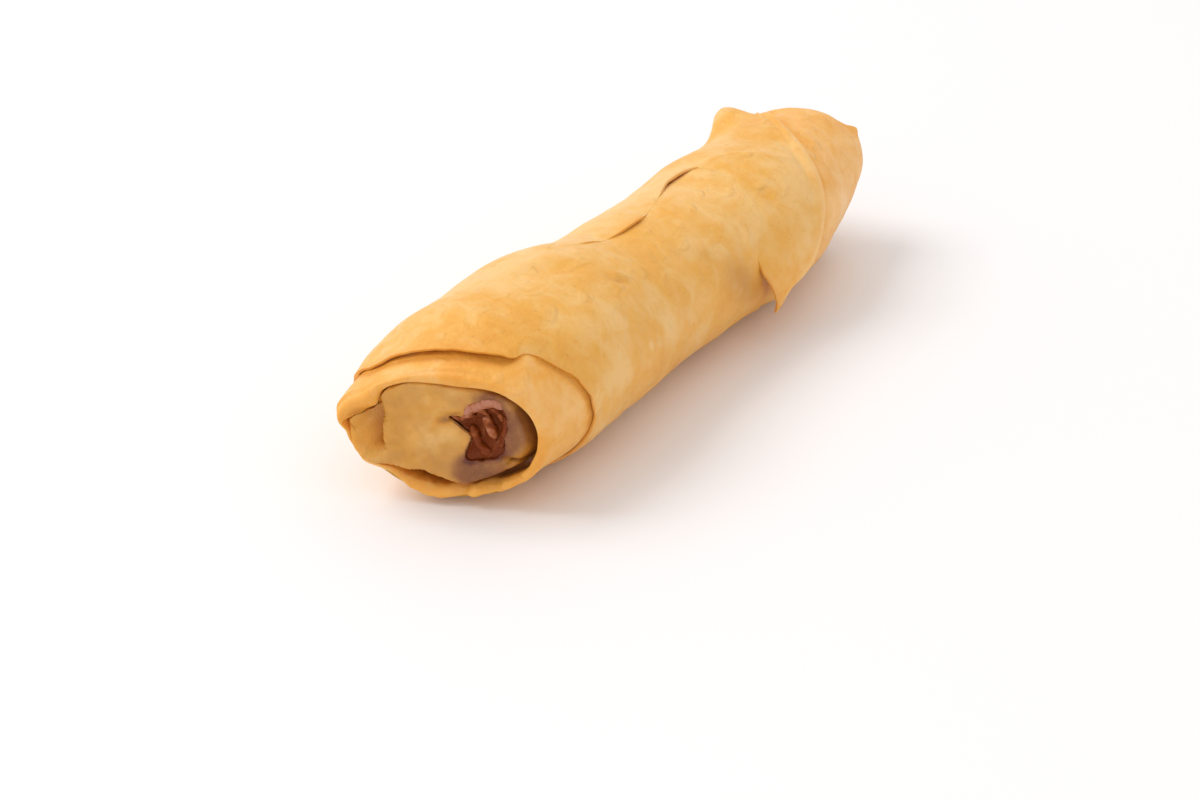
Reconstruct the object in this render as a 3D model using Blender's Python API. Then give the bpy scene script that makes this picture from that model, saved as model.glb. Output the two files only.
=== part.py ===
"""Fried spring roll: one roll of crisp pastry skin round a soft filling.

The roll lies along X with its torn end at -X, and rests on the ground plane on
a narrow flat spot. Two solids are made: the rolled wrapper, which is one closed
skin with an opening torn in its near end, and the filling that runs inside it.

Lengths are in millimetres until the meshes are made. Angles go round the roll
in degrees: 0 is the top, 90 the -Y flank, 180 the underside.
"""

import bpy
import bmesh
import numpy as np

MM = 0.001
COLLECTION = "fried_spring_roll"

# --- The body: (x, half width, half height, sideways shift of the middle) ---
SECTIONS = (
    (-62.0, 13.8, 9.8, -0.9),
    (-57.0, 14.8, 10.5, -0.6),
    (-50.0, 15.9, 11.7, -0.4),
    (-43.5, 16.1, 12.8, -0.4),
    (-25.0, 15.9, 12.9, -0.2),
    (-4.0, 14.1, 11.6, -0.1),
    (14.5, 14.0, 11.7, -0.3),
    (29.0, 15.0, 12.6, -1.2),
    (40.5, 15.0, 12.2, -0.4),
    (50.0, 14.2, 11.8, 0.9),
    (58.0, 13.2, 11.4, 2.1),
    (62.5, 12.6, 10.9, 2.4),
)
# How far the roll is pressed flat on the ground, least in the middle: (x, depth).
SETTLE = (
    (-50.0, 0.35), (-40.0, 0.75), (-28.0, 0.70), (-5.0, 0.45), (20.0, 0.70),
    (34.0, 0.75), (44.0, 0.35),
)
# Slow unevenness of the skin: (radians per mm along, waves round, height).
WAVES = ((0.17, 1, 0.10), (0.29, -3, 0.10), (0.11, 2, 0.08))

# --- The rolled sheet ---
WALL = 2.4                    # all the turns of pastry together
LAYER = 0.9                   # the outermost turn, over the turn below it
COLLAR_FLARE = 0.5            # how far its far edge stands off the roll
NEAR_FLARE = 0.5              # and its near edge, on the upper half alone
FLARE_REACH = 7.0             # the flare dies away over this length
UPPER_HALF = (-0.4, 0.4)      # cosines between which the upper half fades in
EDGE_WIDTH = 0.35             # run of each edge's end face
LIP_WIDTH = 1.0               # half the run of the seam's lip, in degrees

# Where the edges of the outermost turn lie: (angle, x) round the roll.
NEAR_EDGE = (
    (-110, -53.0), (-55, -55.2), (-15, -53.6), (10, -51.4), (33, -48.0),
    (45, -43.4), (65, -41.0), (95, -38.4), (130, -39.0), (155, -40.6), (205, -41.4),
    (225, -46.0),
)
FAR_EDGE = (
    (-100, 56.0), (-48, 60.5), (-30, 55.5), (-7, 48.8), (17, 41.6), (39, 37.4),
    (62, 34.0), (92, 30.7), (118, 29.6), (137, 26.5), (152, 33.5), (208, 35.0),
    (235, 49.0),
)
# The lengthwise seam: (x, angle) and (x, height of its lip).
SEAM_ANGLE = (
    (-60, -5), (-30, -4), (-23, 2), (-15, -1), (-9, 0), (-2, 3), (4, 1), (9, -4),
    (16, -13), (20, -14), (25, -21), (31, -35), (40, -44), (60, -48),
)
SEAM_LIP = (
    (-60, 0.0), (-29, 0.0), (-12, 0.5), (0, 0.8), (18, 0.9), (28, 0.6), (40, 0.8),
    (49, 2.9), (55, 3.2), (61, 1.5),
)

# --- The near end is pressed in low on its +Y side, where the end comes to a corner ---
PINCH = 4.0
PINCH_ANGLE = (230.0, 30.0)   # middle and spread, in degrees
PINCH_REACH = (-62.0, -42.0)  # full at the first x, gone at the second

# --- The hanging tongue, a corner of the sheet that droops down the -Y flank ---
TONGUE_ANGLES = (77.0, 137.0)  # from its root to its tip
TONGUE_WIDTHS = (13.0, 3.2)   # from its free edge to the sheet's far edge, root and tip
TONGUE_LIFTS = (0.5, 2.0)     # off the turn below, root and tip
TONGUE_STEP = 1.5             # run of the step at its free edge

# --- The near end: a soft lip, the tucked skin inside it and the tear ---
RIM_X = -56.6                 # the plane of the lip, on the roll's middle line
RIM_SLANT = 0.40              # the lip runs this much further out towards +Y
RIM_LIPS = ((1.6, 0.0), (0.35, 0.25), (0.0, 0.8), (0.35, 1.4))   # (depth, inset)
PLUG_RINGS = ((2.6, 2.1), (1.9, 3.1), (0.9, 4.6))                # (depth, inset)
TEAR_MIDDLE = (-6.8, 12.4)    # (y, z)
TEAR_RADIUS = 4.4
TEAR_LOBES = ((2, 0.10, 0.6), (3, 0.06, 0.0))   # (lobes, share of the radius, phase)
TEAR_DEPTHS = (0.5, 1.9)      # outer and inner edge of the torn skin
CAVITY_DEPTH = 5.0

# --- The far end: the same lip, and tucked skin without a tear ---
FAR_RIM = (
    (-120, 57.5), (-60, 58.6), (-18, 59.6), (14, 60.4), (38, 61.9), (60, 59.6),
    (90, 57.6), (135, 56.6), (200, 57.0),
)
FAR_LIPS = ((1.6, 0.0), (0.35, 0.25), (0.0, 0.8), (0.35, 1.4))
FAR_PLUG_RINGS = ((2.8, 2.1), (2.2, 3.4), (1.4, 6.2), (1.0, 9.0))
FAR_CAVITY_DEPTH = 7.0
CAVITY_END = (1.0, 4.0)       # the cavity's last ring: further along, further in

# --- The filling ---
GAP = 0.4                     # clearance between the filling and the wrapper
END_GAP = 1.2                 # and at its two ends
KNOB_RINGS = ((1.3, 2.2), (1.5, 0.8), (3.4, GAP))                # (depth, inset)

# --- How finely the loft is cut ---
COLUMNS = 56
FILLING_COLUMNS = 28
CAVITY_RINGS = 9
SLEEVE_RINGS = 3
BODY_RINGS = 22
TUBE_RINGS = 5


def smooth_through(stations, at):
    """Smooth curve through (position, value) stations that never overshoots."""
    xs, ys = np.array(stations, dtype=float).T
    slopes = np.diff(ys) / np.diff(xs)
    before, after = slopes[:-1], slopes[1:]
    same_way = before * after > 0
    total = np.where(same_way, before + after, 1.0)
    inner = np.where(same_way, 2 * before * after / total, 0.0)
    tangents = np.concatenate(([slopes[0]], inner, [slopes[-1]]))
    at = np.clip(at, xs[0], xs[-1])
    i = np.clip(np.searchsorted(xs, at) - 1, 0, len(xs) - 2)
    step = xs[i + 1] - xs[i]
    t = (at - xs[i]) / step
    left = (1 + 2 * t) * (1 - t) ** 2 * ys[i] + t * (1 - t) ** 2 * step * tangents[i]
    right = t * t * (3 - 2 * t) * ys[i + 1] - t * t * (1 - t) * step * tangents[i + 1]
    return left + right


def smooth_round(stations, angle):
    """The same curve for stations that go once round the roll."""
    turn = [(a + shift, value) for shift in (-360, 0, 360) for a, value in stations]
    return smooth_through(turn, np.mod(np.asarray(angle) + 180, 360) - 180)


def smooth_step(low, high, at):
    """0 below low, 1 above high, with a soft S between."""
    t = np.clip((at - low) / (high - low), 0, 1)
    return t * t * (3 - 2 * t)


def body(column, x):
    """One column of SECTIONS as a smooth function of x."""
    return smooth_through([(row[0], row[column]) for row in SECTIONS], x)


def skin_point(x, angle, lift):
    """Point on the oval section at x, raised by lift, pressed flat on the ground."""
    turn = np.radians(angle)
    wave = sum(height * np.sin(rate * x + count * turn) for rate, count, height in WAVES)
    lift = lift + wave - pinch(x, angle)
    half_height = body(2, x)
    y = body(3, x) - (body(1, x) + lift) * np.sin(turn)
    axis = half_height + LAYER - smooth_through(SETTLE, x)
    z = axis + (half_height + lift) * np.cos(turn)
    return np.stack([x, y, np.maximum(z, 0.0)], axis=-1)


def pinch(x, angle):
    """How far the near end is pressed in, low on its +Y side."""
    middle, spread = PINCH_ANGLE
    near = 1 - smooth_step(*PINCH_REACH, x)
    return PINCH * near * np.exp(-((np.mod(angle, 360) - middle) / spread) ** 2)


def ring_angles(x, columns):
    """Angles of one ring's points: once round, from the seam's low side to its lip."""
    start = smooth_through(SEAM_ANGLE, x) + LIP_WIDTH
    return start + np.arange(columns + 1) * (360 - 2 * LIP_WIDTH) / columns


def settle_ring(x_of_angle, columns):
    """x and angle of a ring whose x depends on its angles, and they on x."""
    x = np.zeros(columns + 1)
    for _ in range(8):
        angle = ring_angles(x, columns)
        x = x_of_angle(angle)
    return x, angle


def outer_lift(x, angle):
    """Height of the outermost turn over the one below: it winds up to the lip."""
    turned = np.mod(angle - smooth_through(SEAM_ANGLE, x), 360) / 360
    lift = LAYER + smooth_through(SEAM_LIP, x) * turned ** 2
    from_near = x - smooth_round(NEAR_EDGE, angle)
    from_far = smooth_round(FAR_EDGE, angle) - x
    upper = smooth_step(*UPPER_HALF, np.cos(np.radians(angle)))
    near_flare = NEAR_FLARE * upper * (1 - smooth_step(0, FLARE_REACH, from_near))
    far_flare = COLLAR_FLARE * (1 - smooth_step(0, FLARE_REACH, from_far))
    return lift + near_flare + far_flare + tongue_lift(from_far, angle)


def tongue_lift(from_far, angle):
    """The drooping corner: a wedge beside the far edge that lifts towards its tip."""
    root, tip = TONGUE_ANGLES
    along = (np.mod(angle, 360) - root) / (tip - root)
    width = np.interp(along, (0, 1), TONGUE_WIDTHS)
    height = np.interp(along, (0, 1), TONGUE_LIFTS)
    on_it = 1 - smooth_step(width - TONGUE_STEP, width, from_far)
    return np.where((along > 0) & (along < 1), on_it * height, 0)


def near_edge(angle):
    """x of the outermost turn's near edge."""
    return smooth_round(NEAR_EDGE, angle)


def far_edge(angle):
    """x of the outermost turn's far edge."""
    return smooth_round(FAR_EDGE, angle)


def near_rim(angle):
    """x where the sheet meets the slanted plane of the near lip."""
    x = np.full(np.shape(angle), RIM_X)
    for _ in range(6):
        x = RIM_X - RIM_SLANT * skin_point(x, angle, 0.0)[..., 1]
    return x


def far_rim(angle):
    """x of the far lip."""
    return smooth_round(FAR_RIM, angle)


def rings_between(first, second, shares, lift, columns=COLUMNS):
    """Rings at shares of the way between two edges given as functions of angle."""
    rings = []
    for share in shares:
        x, angle = settle_ring(lambda a: first(a) * (1 - share) + second(a) * share, columns)
        rings.append(skin_point(x, angle, lift(x, angle)))
    return rings


def near_ring(depth, inset, columns=COLUMNS):
    """Ring of the near end: this deep behind the slanted lip, this far inside it."""
    x, angle = settle_ring(near_rim, columns)
    ring = skin_point(x, angle, -inset)
    ring[:, 0] = RIM_X - RIM_SLANT * ring[:, 1] + depth
    return ring


def far_ring(depth, inset, columns=COLUMNS):
    """Ring of the far end, where the lip's x changes round the roll."""
    x, angle = settle_ring(far_rim, columns)
    ring = skin_point(x, angle, -inset)
    ring[:, 0] -= depth
    return ring


def tear_ring(depth, inset, columns=COLUMNS):
    """Uneven round outline of the tear, facing out along the slanted lip."""
    turn = np.linspace(0, 2 * np.pi, columns + 1, endpoint=False)
    lobes = sum(share * np.sin(count * turn + phase) for count, share, phase in TEAR_LOBES)
    radius = TEAR_RADIUS * (1 + lobes) - inset
    y = TEAR_MIDDLE[0] - radius * np.sin(turn)
    z = TEAR_MIDDLE[1] + radius * np.cos(turn)
    return np.stack([RIM_X - RIM_SLANT * y + depth, y, z], axis=-1)


def cavity_rings(inset, trim, columns):
    """Rings of the inside, from behind the near skin to the far end."""
    rings = rings_between(
        lambda a: near_rim(a) + CAVITY_DEPTH + trim,
        lambda a: far_rim(a) - FAR_CAVITY_DEPTH - trim,
        np.linspace(0, 1, CAVITY_RINGS),
        lambda x, a: -inset,
        columns,
    )
    further, inner = CAVITY_END
    return rings + [far_ring(FAR_CAVITY_DEPTH - further + trim, inset + inner, columns)]


def wrapper_rings():
    """Every ring of the wrapper, from its inside round the near lip to the far end."""
    inside = cavity_rings(WALL, 0.0, COLUMNS)[::-1]
    tear = [tear_ring(depth, 0.0) for depth in TEAR_DEPTHS[::-1]]
    plug = [near_ring(*ring) for ring in PLUG_RINGS[::-1]]
    lips = [near_ring(*ring) for ring in RIM_LIPS[::-1]]
    sleeve = rings_between(
        lambda a: near_rim(a) + RIM_LIPS[0][0],
        near_edge,
        np.linspace(0, 1, SLEEVE_RINGS + 1)[1:],
        lambda x, a: 0.0,
    )
    eased = 0.5 - 0.5 * np.cos(np.linspace(0, np.pi, BODY_RINGS))
    top = rings_between(
        lambda a: near_edge(a) - EDGE_WIDTH,
        lambda a: far_edge(a) - EDGE_WIDTH,
        eased,
        outer_lift,
    )
    tube = rings_between(
        far_edge,
        lambda a: far_rim(a) - FAR_LIPS[0][0],
        np.linspace(0, 1, TUBE_RINGS + 1)[:-1],
        lambda x, a: 0.0,
    )
    far_end = [far_ring(*ring) for ring in FAR_LIPS + FAR_PLUG_RINGS]
    return inside + tear + plug + lips + sleeve + top + tube + far_end


def filling_rings():
    """Rings of the filling: a knob that shows in the tear, and the core behind it."""
    knob = [tear_ring(*ring, FILLING_COLUMNS) for ring in KNOB_RINGS]
    return knob + cavity_rings(WALL + GAP, END_GAP, FILLING_COLUMNS)


def middle(rings):
    """Middle of the rings' extent in X and Y, which becomes the origin."""
    points = np.concatenate(rings)
    return (points.min(axis=0) + points.max(axis=0)) / 2 * (1, 1, 0)


def loft(name, rings, origin, material, collection):
    """One closed body from rings of equal count, closed by a pole at each end."""
    count = len(rings[0])
    poles = [rings[0].mean(axis=0), rings[-1].mean(axis=0)]
    points = (np.concatenate([poles[:1], *rings, poles[1:]]) - origin) * MM
    mesh = bmesh.new()
    verts = [mesh.verts.new(point) for point in points]
    rows = [verts[1 + i * count:1 + (i + 1) * count] for i in range(len(rings))]
    for j in range(count):
        k = (j + 1) % count
        mesh.faces.new((verts[0], rows[0][k], rows[0][j]))
        mesh.faces.new((verts[-1], rows[-1][j], rows[-1][k]))
        for row, following in zip(rows, rows[1:]):
            mesh.faces.new((row[j], row[k], following[k], following[j]))
    bmesh.ops.triangulate(mesh, faces=mesh.faces[:])
    bmesh.ops.recalc_face_normals(mesh, faces=mesh.faces[:])
    if mesh.calc_volume(signed=True) < 0:
        bmesh.ops.reverse_faces(mesh, faces=mesh.faces[:])
    data = bpy.data.meshes.new(name)
    mesh.to_mesh(data)
    mesh.free()
    data.shade_smooth()
    data.materials.append(material)
    piece = bpy.data.objects.new(name, data)
    collection.objects.link(piece)
    return piece


def food_material(name, color, roughness):
    """Plain Principled material of one food."""
    material = bpy.data.materials.new(name)
    material.use_nodes = True
    shader = material.node_tree.nodes["Principled BSDF"]
    shader.inputs["Base Color"].default_value = (*color, 1.0)
    shader.inputs["Roughness"].default_value = roughness
    shader.inputs["Metallic"].default_value = 0.0
    return material


def main():
    for old in list(bpy.data.objects):
        bpy.data.objects.remove(old, do_unlink=True)
    collection = bpy.data.collections.new(COLLECTION)
    bpy.context.scene.collection.children.link(collection)
    pastry = food_material("pastry", (0.80, 0.40, 0.11), 0.42)
    fruit = food_material("purple_fruit", (0.15, 0.03, 0.01), 0.35)
    skin = wrapper_rings()
    origin = middle(skin)
    loft("wrapper", skin, origin, pastry, collection)
    loft("filling", filling_rings(), origin, fruit, collection)


main()
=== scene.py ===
# %% [markdown]
# # A fried spring roll
#
# The real thing is a square of thin wheat skin, rolled round a soft filling and
# fried until it is crisp. What shows is nearly all skin: a sleeve with a soft
# rolled lip, the last turn of the sheet over it, a loose flap that lies over the
# top and hangs down one flank, and the tucked skin of each end. The near tuck is
# torn, and the dark filling shows through the tear.
#
# Each sheet is a surface of two parameters, one along the roll and one round it,
# so every piece below starts as a grid of positions on one shared oval body.

import bpy
import numpy as np
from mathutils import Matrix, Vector


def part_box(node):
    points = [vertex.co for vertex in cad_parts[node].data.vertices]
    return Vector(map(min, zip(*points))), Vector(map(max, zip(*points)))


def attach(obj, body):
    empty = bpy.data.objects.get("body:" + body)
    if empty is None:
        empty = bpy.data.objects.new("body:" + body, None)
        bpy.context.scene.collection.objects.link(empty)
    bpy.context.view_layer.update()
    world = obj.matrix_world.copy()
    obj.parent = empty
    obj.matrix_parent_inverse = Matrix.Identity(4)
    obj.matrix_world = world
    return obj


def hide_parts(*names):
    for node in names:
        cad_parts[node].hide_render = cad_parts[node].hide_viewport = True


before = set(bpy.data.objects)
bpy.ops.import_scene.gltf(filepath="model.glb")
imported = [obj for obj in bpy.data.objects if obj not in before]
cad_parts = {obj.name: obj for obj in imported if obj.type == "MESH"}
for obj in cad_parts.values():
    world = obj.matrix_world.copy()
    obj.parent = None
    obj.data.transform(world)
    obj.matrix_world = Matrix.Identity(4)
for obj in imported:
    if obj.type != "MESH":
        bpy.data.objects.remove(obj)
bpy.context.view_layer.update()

# %% [markdown]
# ## Millimetres on the roll
#
# A roll is easiest to describe from inside: x along it, an angle round it (0 on
# top, 90 on the -Y flank, 180 underneath), and a lift off the turn below. The
# sizes are millimetres from a zero on the ground, which is found from the low
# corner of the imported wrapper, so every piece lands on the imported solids.

# %% Zero of the roll
MM = 0.001
LOW_REACH = (-61.304, -18.563, 0.0)    # the wrapper's low corner, seen from the roll's zero
zero = np.array(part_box("wrapper")[0]) - np.array(LOW_REACH) * MM
print("zero of the roll in the frame:", np.round(zero, 5))

# %% [markdown]
# ## Smooth curves through a few stations
#
# Widths, edges and heights change slowly along the roll, so each is given at a
# few stations and read off a curve between them. A cubic whose slope is zero at
# every local high or low never swells past its stations, as a plain spline would.


# %% Curves
def smooth_through(stations, at):
    """Cubic pieces through (position, value) stations; slopes are the harmonic mean of the two sides."""
    xs, ys = np.array(stations, dtype=float).T
    slopes = np.diff(ys) / np.diff(xs)
    before, after = slopes[:-1], slopes[1:]
    same_way = before * after > 0
    total = np.where(same_way, before + after, 1.0)
    inner = np.where(same_way, 2 * before * after / total, 0.0)
    tangents = np.concatenate(([slopes[0]], inner, [slopes[-1]]))
    at = np.clip(at, xs[0], xs[-1])
    i = np.clip(np.searchsorted(xs, at) - 1, 0, len(xs) - 2)
    step = xs[i + 1] - xs[i]
    t = (at - xs[i]) / step
    left = (1 + 2 * t) * (1 - t) ** 2 * ys[i] + t * (1 - t) ** 2 * step * tangents[i]
    right = t * t * (3 - 2 * t) * ys[i + 1] - t * t * (1 - t) * step * tangents[i + 1]
    return left + right


def smooth_round(stations, angle):
    """The same curve for stations that go once round the roll, joined end to end."""
    once = [(a + shift, value) for shift in (-360, 0, 360) for a, value in stations]
    return smooth_through(once, turned(angle))


def turned(angle):
    """The same angle between -180 and 180."""
    return np.mod(np.asarray(angle) + 180, 360) - 180


def smooth_step(low, high, at):
    """0 below low, 1 above high, and the S-curve 3t^2 - 2t^3 between them."""
    t = np.clip((at - low) / (high - low), 0, 1)
    return t * t * (3 - 2 * t)


def arc(start, full, fade, end, angle):
    """1 between full and fade, and S-curves down to 0 at start and at end."""
    return smooth_step(start, full, angle) * (1 - smooth_step(fade, end, angle))


def bell(distance, width):
    """1 at distance 0, falling off as exp(-(distance / width)^2)."""
    return np.exp(-(distance / width) ** 2)


def strip(distance, size):
    """A bell with its (middle, half width, height) given as one size."""
    middle, width, height = size
    return height * bell(distance - middle, width)


print("a quarter up the S-curve:", smooth_step(0, 1, 0.25), "one width down the bell:", round(bell(1, 1), 3))

# %% [markdown]
# ## Unevenness without a texture
#
# Fried skin is never smooth. Random numbers on the corners of a lattice, blended
# across each cell, give soft bumps of any chosen size, the same on every run.


# %% Lattice noise
LATTICE = 32


def bumps(points, cell, seed):
    """Random values from -1 to 1 on a lattice of this cell size, blended by S-curves inside each cell."""
    lattice = np.random.default_rng(seed).uniform(-1, 1, (LATTICE,) * 3)
    place = np.asarray(points) / cell
    low = np.floor(place).astype(int)
    t = place - low
    t = t * t * (3 - 2 * t)
    total = 0.0
    for corner in np.ndindex(2, 2, 2):
        weight = np.prod(np.where(np.array(corner, dtype=bool), t, 1 - t), axis=-1)
        i, j, k = np.moveaxis((low + corner) % LATTICE, -1, 0)
        total = total + weight * lattice[i, j, k]
    return total


print("noise repeats after", LATTICE, "cells")

# %% [markdown]
# ## The oval body
#
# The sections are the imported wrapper's own: half width, half height and a small
# sideways shift at stations along x, pressed flat where the roll lies. Three slow
# waves keep it from looking turned on a lathe. The near end is pressed in low on its
# +Y side, so that it comes to a corner there.

# %% Body sizes
BODY = (          # (x, half width, half height, sideways shift)
    (-62.0, 13.8, 9.8, -0.9), (-57.0, 14.8, 10.5, -0.6), (-50.0, 15.9, 11.7, -0.4),
    (-43.5, 16.1, 12.8, -0.4), (-25.0, 15.9, 12.9, -0.2), (-4.0, 14.1, 11.6, -0.1),
    (14.5, 14.0, 11.7, -0.3), (29.0, 15.0, 12.6, -1.2), (40.5, 15.0, 12.2, -0.4),
    (50.0, 14.2, 11.8, 0.9), (58.0, 13.2, 11.4, 2.1), (62.5, 12.6, 10.9, 2.4),
)
SETTLE = (        # (x, how far it is pressed flat)
    (-50.0, 0.35), (-40.0, 0.75), (-28.0, 0.70), (-5.0, 0.45), (20.0, 0.70),
    (34.0, 0.75), (44.0, 0.35),
)
WAVES = ((0.17, 1, 0.10), (0.29, -3, 0.10), (0.11, 2, 0.08))   # (rate along, count round, height)
LAYER = 0.9       # the outermost turn over the one below
WALL = 2.4        # all the turns together
SHEET = 0.4       # one sheet of fried skin
PINCH = (         # (angle, how far the near end is pressed in there)
    (-180, 0.9), (-157, 2.7), (-137, 3.6), (-115, 3.1), (-100, 2.8), (-86, 2.2), (-76, 0.4),
    (-66, -1.0), (-58, -0.9), (-44, 0.0), (60, 0.0), (85, -0.2), (103, 0.1), (116, -0.1), (125, 0.0),
    (132, 0.6), (145, 0.8), (156, 1.2), (165, 1.15),
)
PINCH_REACH = (-62.0, -42.0)           # full at the first x, gone at the second
NECK = (54.6, 2.3, -24.0, 13.0, 1.0)   # pulled tight at (x, half length, angle, spread, depth)


def body(column, x):
    """One column of BODY as a smooth function of x."""
    return smooth_through([(row[0], row[column]) for row in BODY], x)


def skin(x, angle, lift):
    """Point of an oval: y = shift - (a + lift) sin(angle), z = axis + (b + lift) cos(angle), at least 0."""
    turn = np.radians(angle)
    wave = sum(height * np.sin(rate * x + count * turn) for rate, count, height in WAVES)
    pressed = (1 - smooth_step(*PINCH_REACH, x)) * smooth_round(PINCH, angle)
    at, length, middle, spread, depth = NECK
    neck = depth * bell(x - at, length) * bell(turned(angle) - middle, spread)
    lift = lift + wave - pressed - neck
    half_height = body(2, x)
    y = body(3, x) - (body(1, x) + lift) * np.sin(turn)
    axis = half_height + LAYER - smooth_through(SETTLE, x)
    z = axis + (half_height + lift) * np.cos(turn)
    return np.stack([x, y, np.maximum(z, 0.0)], axis=-1)


print("section at the middle:", np.round(skin(np.zeros(4), np.arange(4) * 90.0, LAYER), 2).tolist())

# %% [markdown]
# ## From a grid to a piece
#
# A grid of points becomes quads by joining each point to its neighbours to the
# right and above. A closed grid joins its last column to the first. Numbers that a
# material should know about, called marks here, go in as attributes: edge is 1 on a
# cut edge, tone is above 0 where the skin is paler and below 0 where it is browner,
# and damp goes from 0 for dry skin to 2 for soaked skin. Tone carries painted light
# too: painted shade below 0, and painted sheen and light above 0.


# %% Grids to meshes
def grid_faces(rows, columns, closed):
    """Quads (here, right, above right, above) of a grid of points counted row by row."""
    index = np.arange(rows * columns).reshape(rows, columns)
    right = np.roll(index, -1, axis=1) if closed else index[:, 1:]
    here = index if closed else index[:, :-1]
    return np.stack([here[:-1], right[:-1], right[1:], here[1:]], axis=-1).reshape(-1, 4)


def cap_faces(start, columns):
    """Quads straight across one ring of a grid, which close it."""
    i = np.arange(columns // 2 - 1)
    return start + np.stack([i, columns - 1 - i, columns - 2 - i, i + 1], axis=-1)


def make_piece(name, points, faces, marks):
    """Object at the origin: points in millimetres from the zero, faces, and one attribute for each mark."""
    mesh = bpy.data.meshes.new(name)
    place = zero + points.reshape(-1, 3) * MM
    mesh.vertices.add(len(place))
    mesh.vertices.foreach_set("co", place.astype(np.float32).ravel())
    mesh.loops.add(faces.size)
    mesh.loops.foreach_set("vertex_index", faces.astype(np.int32).ravel())
    mesh.polygons.add(len(faces))
    mesh.polygons.foreach_set("loop_start", np.arange(0, faces.size, faces.shape[1], dtype=np.int32))
    mesh.update(calc_edges=True)
    mesh.validate()
    for mark, values in marks.items():
        data = mesh.attributes.new(mark, "FLOAT", "POINT").data
        data.foreach_set("value", np.broadcast_to(values, points.shape[:-1]).astype(np.float32).ravel())
    mesh.shade_smooth()
    piece = bpy.data.objects.new(name, mesh)
    bpy.context.scene.collection.objects.link(piece)
    return piece


print("a closed grid of 3 rows and 4 columns has", len(grid_faces(3, 4, True)), "quads")

# %% [markdown]
# ## From a sheet to a solid
#
# A surface has no thickness, and a sheet of skin does: its cut edge catches the
# light. A Solidify modifier gives it that, towards the inside, so that the grid
# stays the visible outside. A small bevel keeps the cut from looking sharp.

# %% Thickness and owner
CUT_ROUNDED = 0.2       # the cut's corners are rounded by this share of the thickness
CUT_ANGLE = 50          # where faces meet at more than this angle


def thicken(piece, thickness):
    """The sheet gets its thickness towards the inside, in millimetres, and slightly rounded cut edges."""
    solid = piece.modifiers.new("thickness", "SOLIDIFY")
    solid.thickness = thickness * MM
    solid.offset = -1
    solid.use_rim = True
    rounded = piece.modifiers.new("rounded edges", "BEVEL")
    rounded.width = CUT_ROUNDED * thickness * MM
    rounded.segments = 2
    rounded.limit_method = "ANGLE"
    rounded.angle_limit = np.radians(CUT_ANGLE)
    rounded.harden_normals = True
    return piece


def belongs(piece, node, material):
    """The piece moves with the roll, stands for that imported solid, and wears its finish."""
    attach(piece, "root")
    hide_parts(node)
    piece.data.materials.append(material)
    print(piece.name, len(piece.data.vertices), "points,", len(piece.data.polygons), "faces")


# %% [markdown]
# ## Camera
#
# The roll is seen from above its near end, from a little to the -Y side, through
# a long lens that keeps the two ends nearly the same size.

# %% Camera
CAMERA_AZIMUTH = -57.44      # degrees round the roll, 0 looks along +Y
CAMERA_ELEVATION = 28.0      # degrees above the table
CAMERA_DISTANCE = 0.385
CAMERA_TARGET = (-0.02298, -0.00836, 0.00464)
CAMERA_LENS = 75.0           # millimetres, on a sensor this wide
SENSOR = 36.0
CAMERA_CLIP = 0.01           # nothing nearer than this is drawn


def towards_camera(azimuth, elevation):
    """Unit vector from the target to a camera at this azimuth and elevation."""
    a, e = np.radians((azimuth, elevation))
    return np.array([np.sin(a) * np.cos(e), -np.cos(a) * np.cos(e), np.sin(e)])


def aimed(name, data, place, target):
    """Object at place whose -Z axis points at the target, with +Y upwards."""
    thing = bpy.data.objects.new(name, data)
    thing.location = place
    away = Vector(np.asarray(place) - np.asarray(target))
    thing.rotation_euler = away.to_track_quat("Z", "Y").to_euler()
    bpy.context.scene.collection.objects.link(thing)
    return thing


camera_data = bpy.data.cameras.new("camera")
camera_data.lens = CAMERA_LENS
camera_data.sensor_width = SENSOR
camera_data.clip_start = CAMERA_CLIP
camera_place = np.array(CAMERA_TARGET) + CAMERA_DISTANCE * towards_camera(CAMERA_AZIMUTH, CAMERA_ELEVATION)
bpy.context.scene.camera = aimed("camera", camera_data, camera_place, CAMERA_TARGET)
print("camera at", np.round(camera_place, 4))

# %% [markdown]
# ## Shader sums in plain Python
#
# A node tree for uneven skin is mostly arithmetic: this mask times that colour
# shift. A wire wraps one output socket and overloads the operators, so the sums
# read as sums.


# %% Wires
class Wire:
    """One number in a node tree: sums, differences and products of wires add Math nodes."""

    def __init__(self, finish, socket):
        self.finish = finish
        self.socket = socket

    def math(self, operation, first, second):
        """A Math node of two wires, or of a wire and a number."""
        return self.finish.add("ShaderNodeMath", {"operation": operation}, {0: first, 1: second})

    def __add__(self, other):
        return self.math("ADD", self, other)

    def __sub__(self, other):
        return self.math("SUBTRACT", self, other)

    def __rsub__(self, other):
        return self.math("SUBTRACT", other, self)

    def __mul__(self, other):
        return self.math("MULTIPLY", self, other)

    __radd__ = __add__
    __rmul__ = __mul__

    def between(self, low, high):
        """0 below low, 1 above high, with an S-curve between."""
        settings = {"interpolation_type": "SMOOTHSTEP"}
        sockets = {"Value": self, "From Min": low, "From Max": high}
        return self.finish.add("ShaderNodeMapRange", settings, sockets)


# %% [markdown]
# ## One helper for every material
#
# A material here is one Principled shader and the nodes that vary its sockets. A
# finish makes the shader, sets what is constant, and adds every other kind of node
# through one method, so that a material reads as a list of what varies and why.


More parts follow.
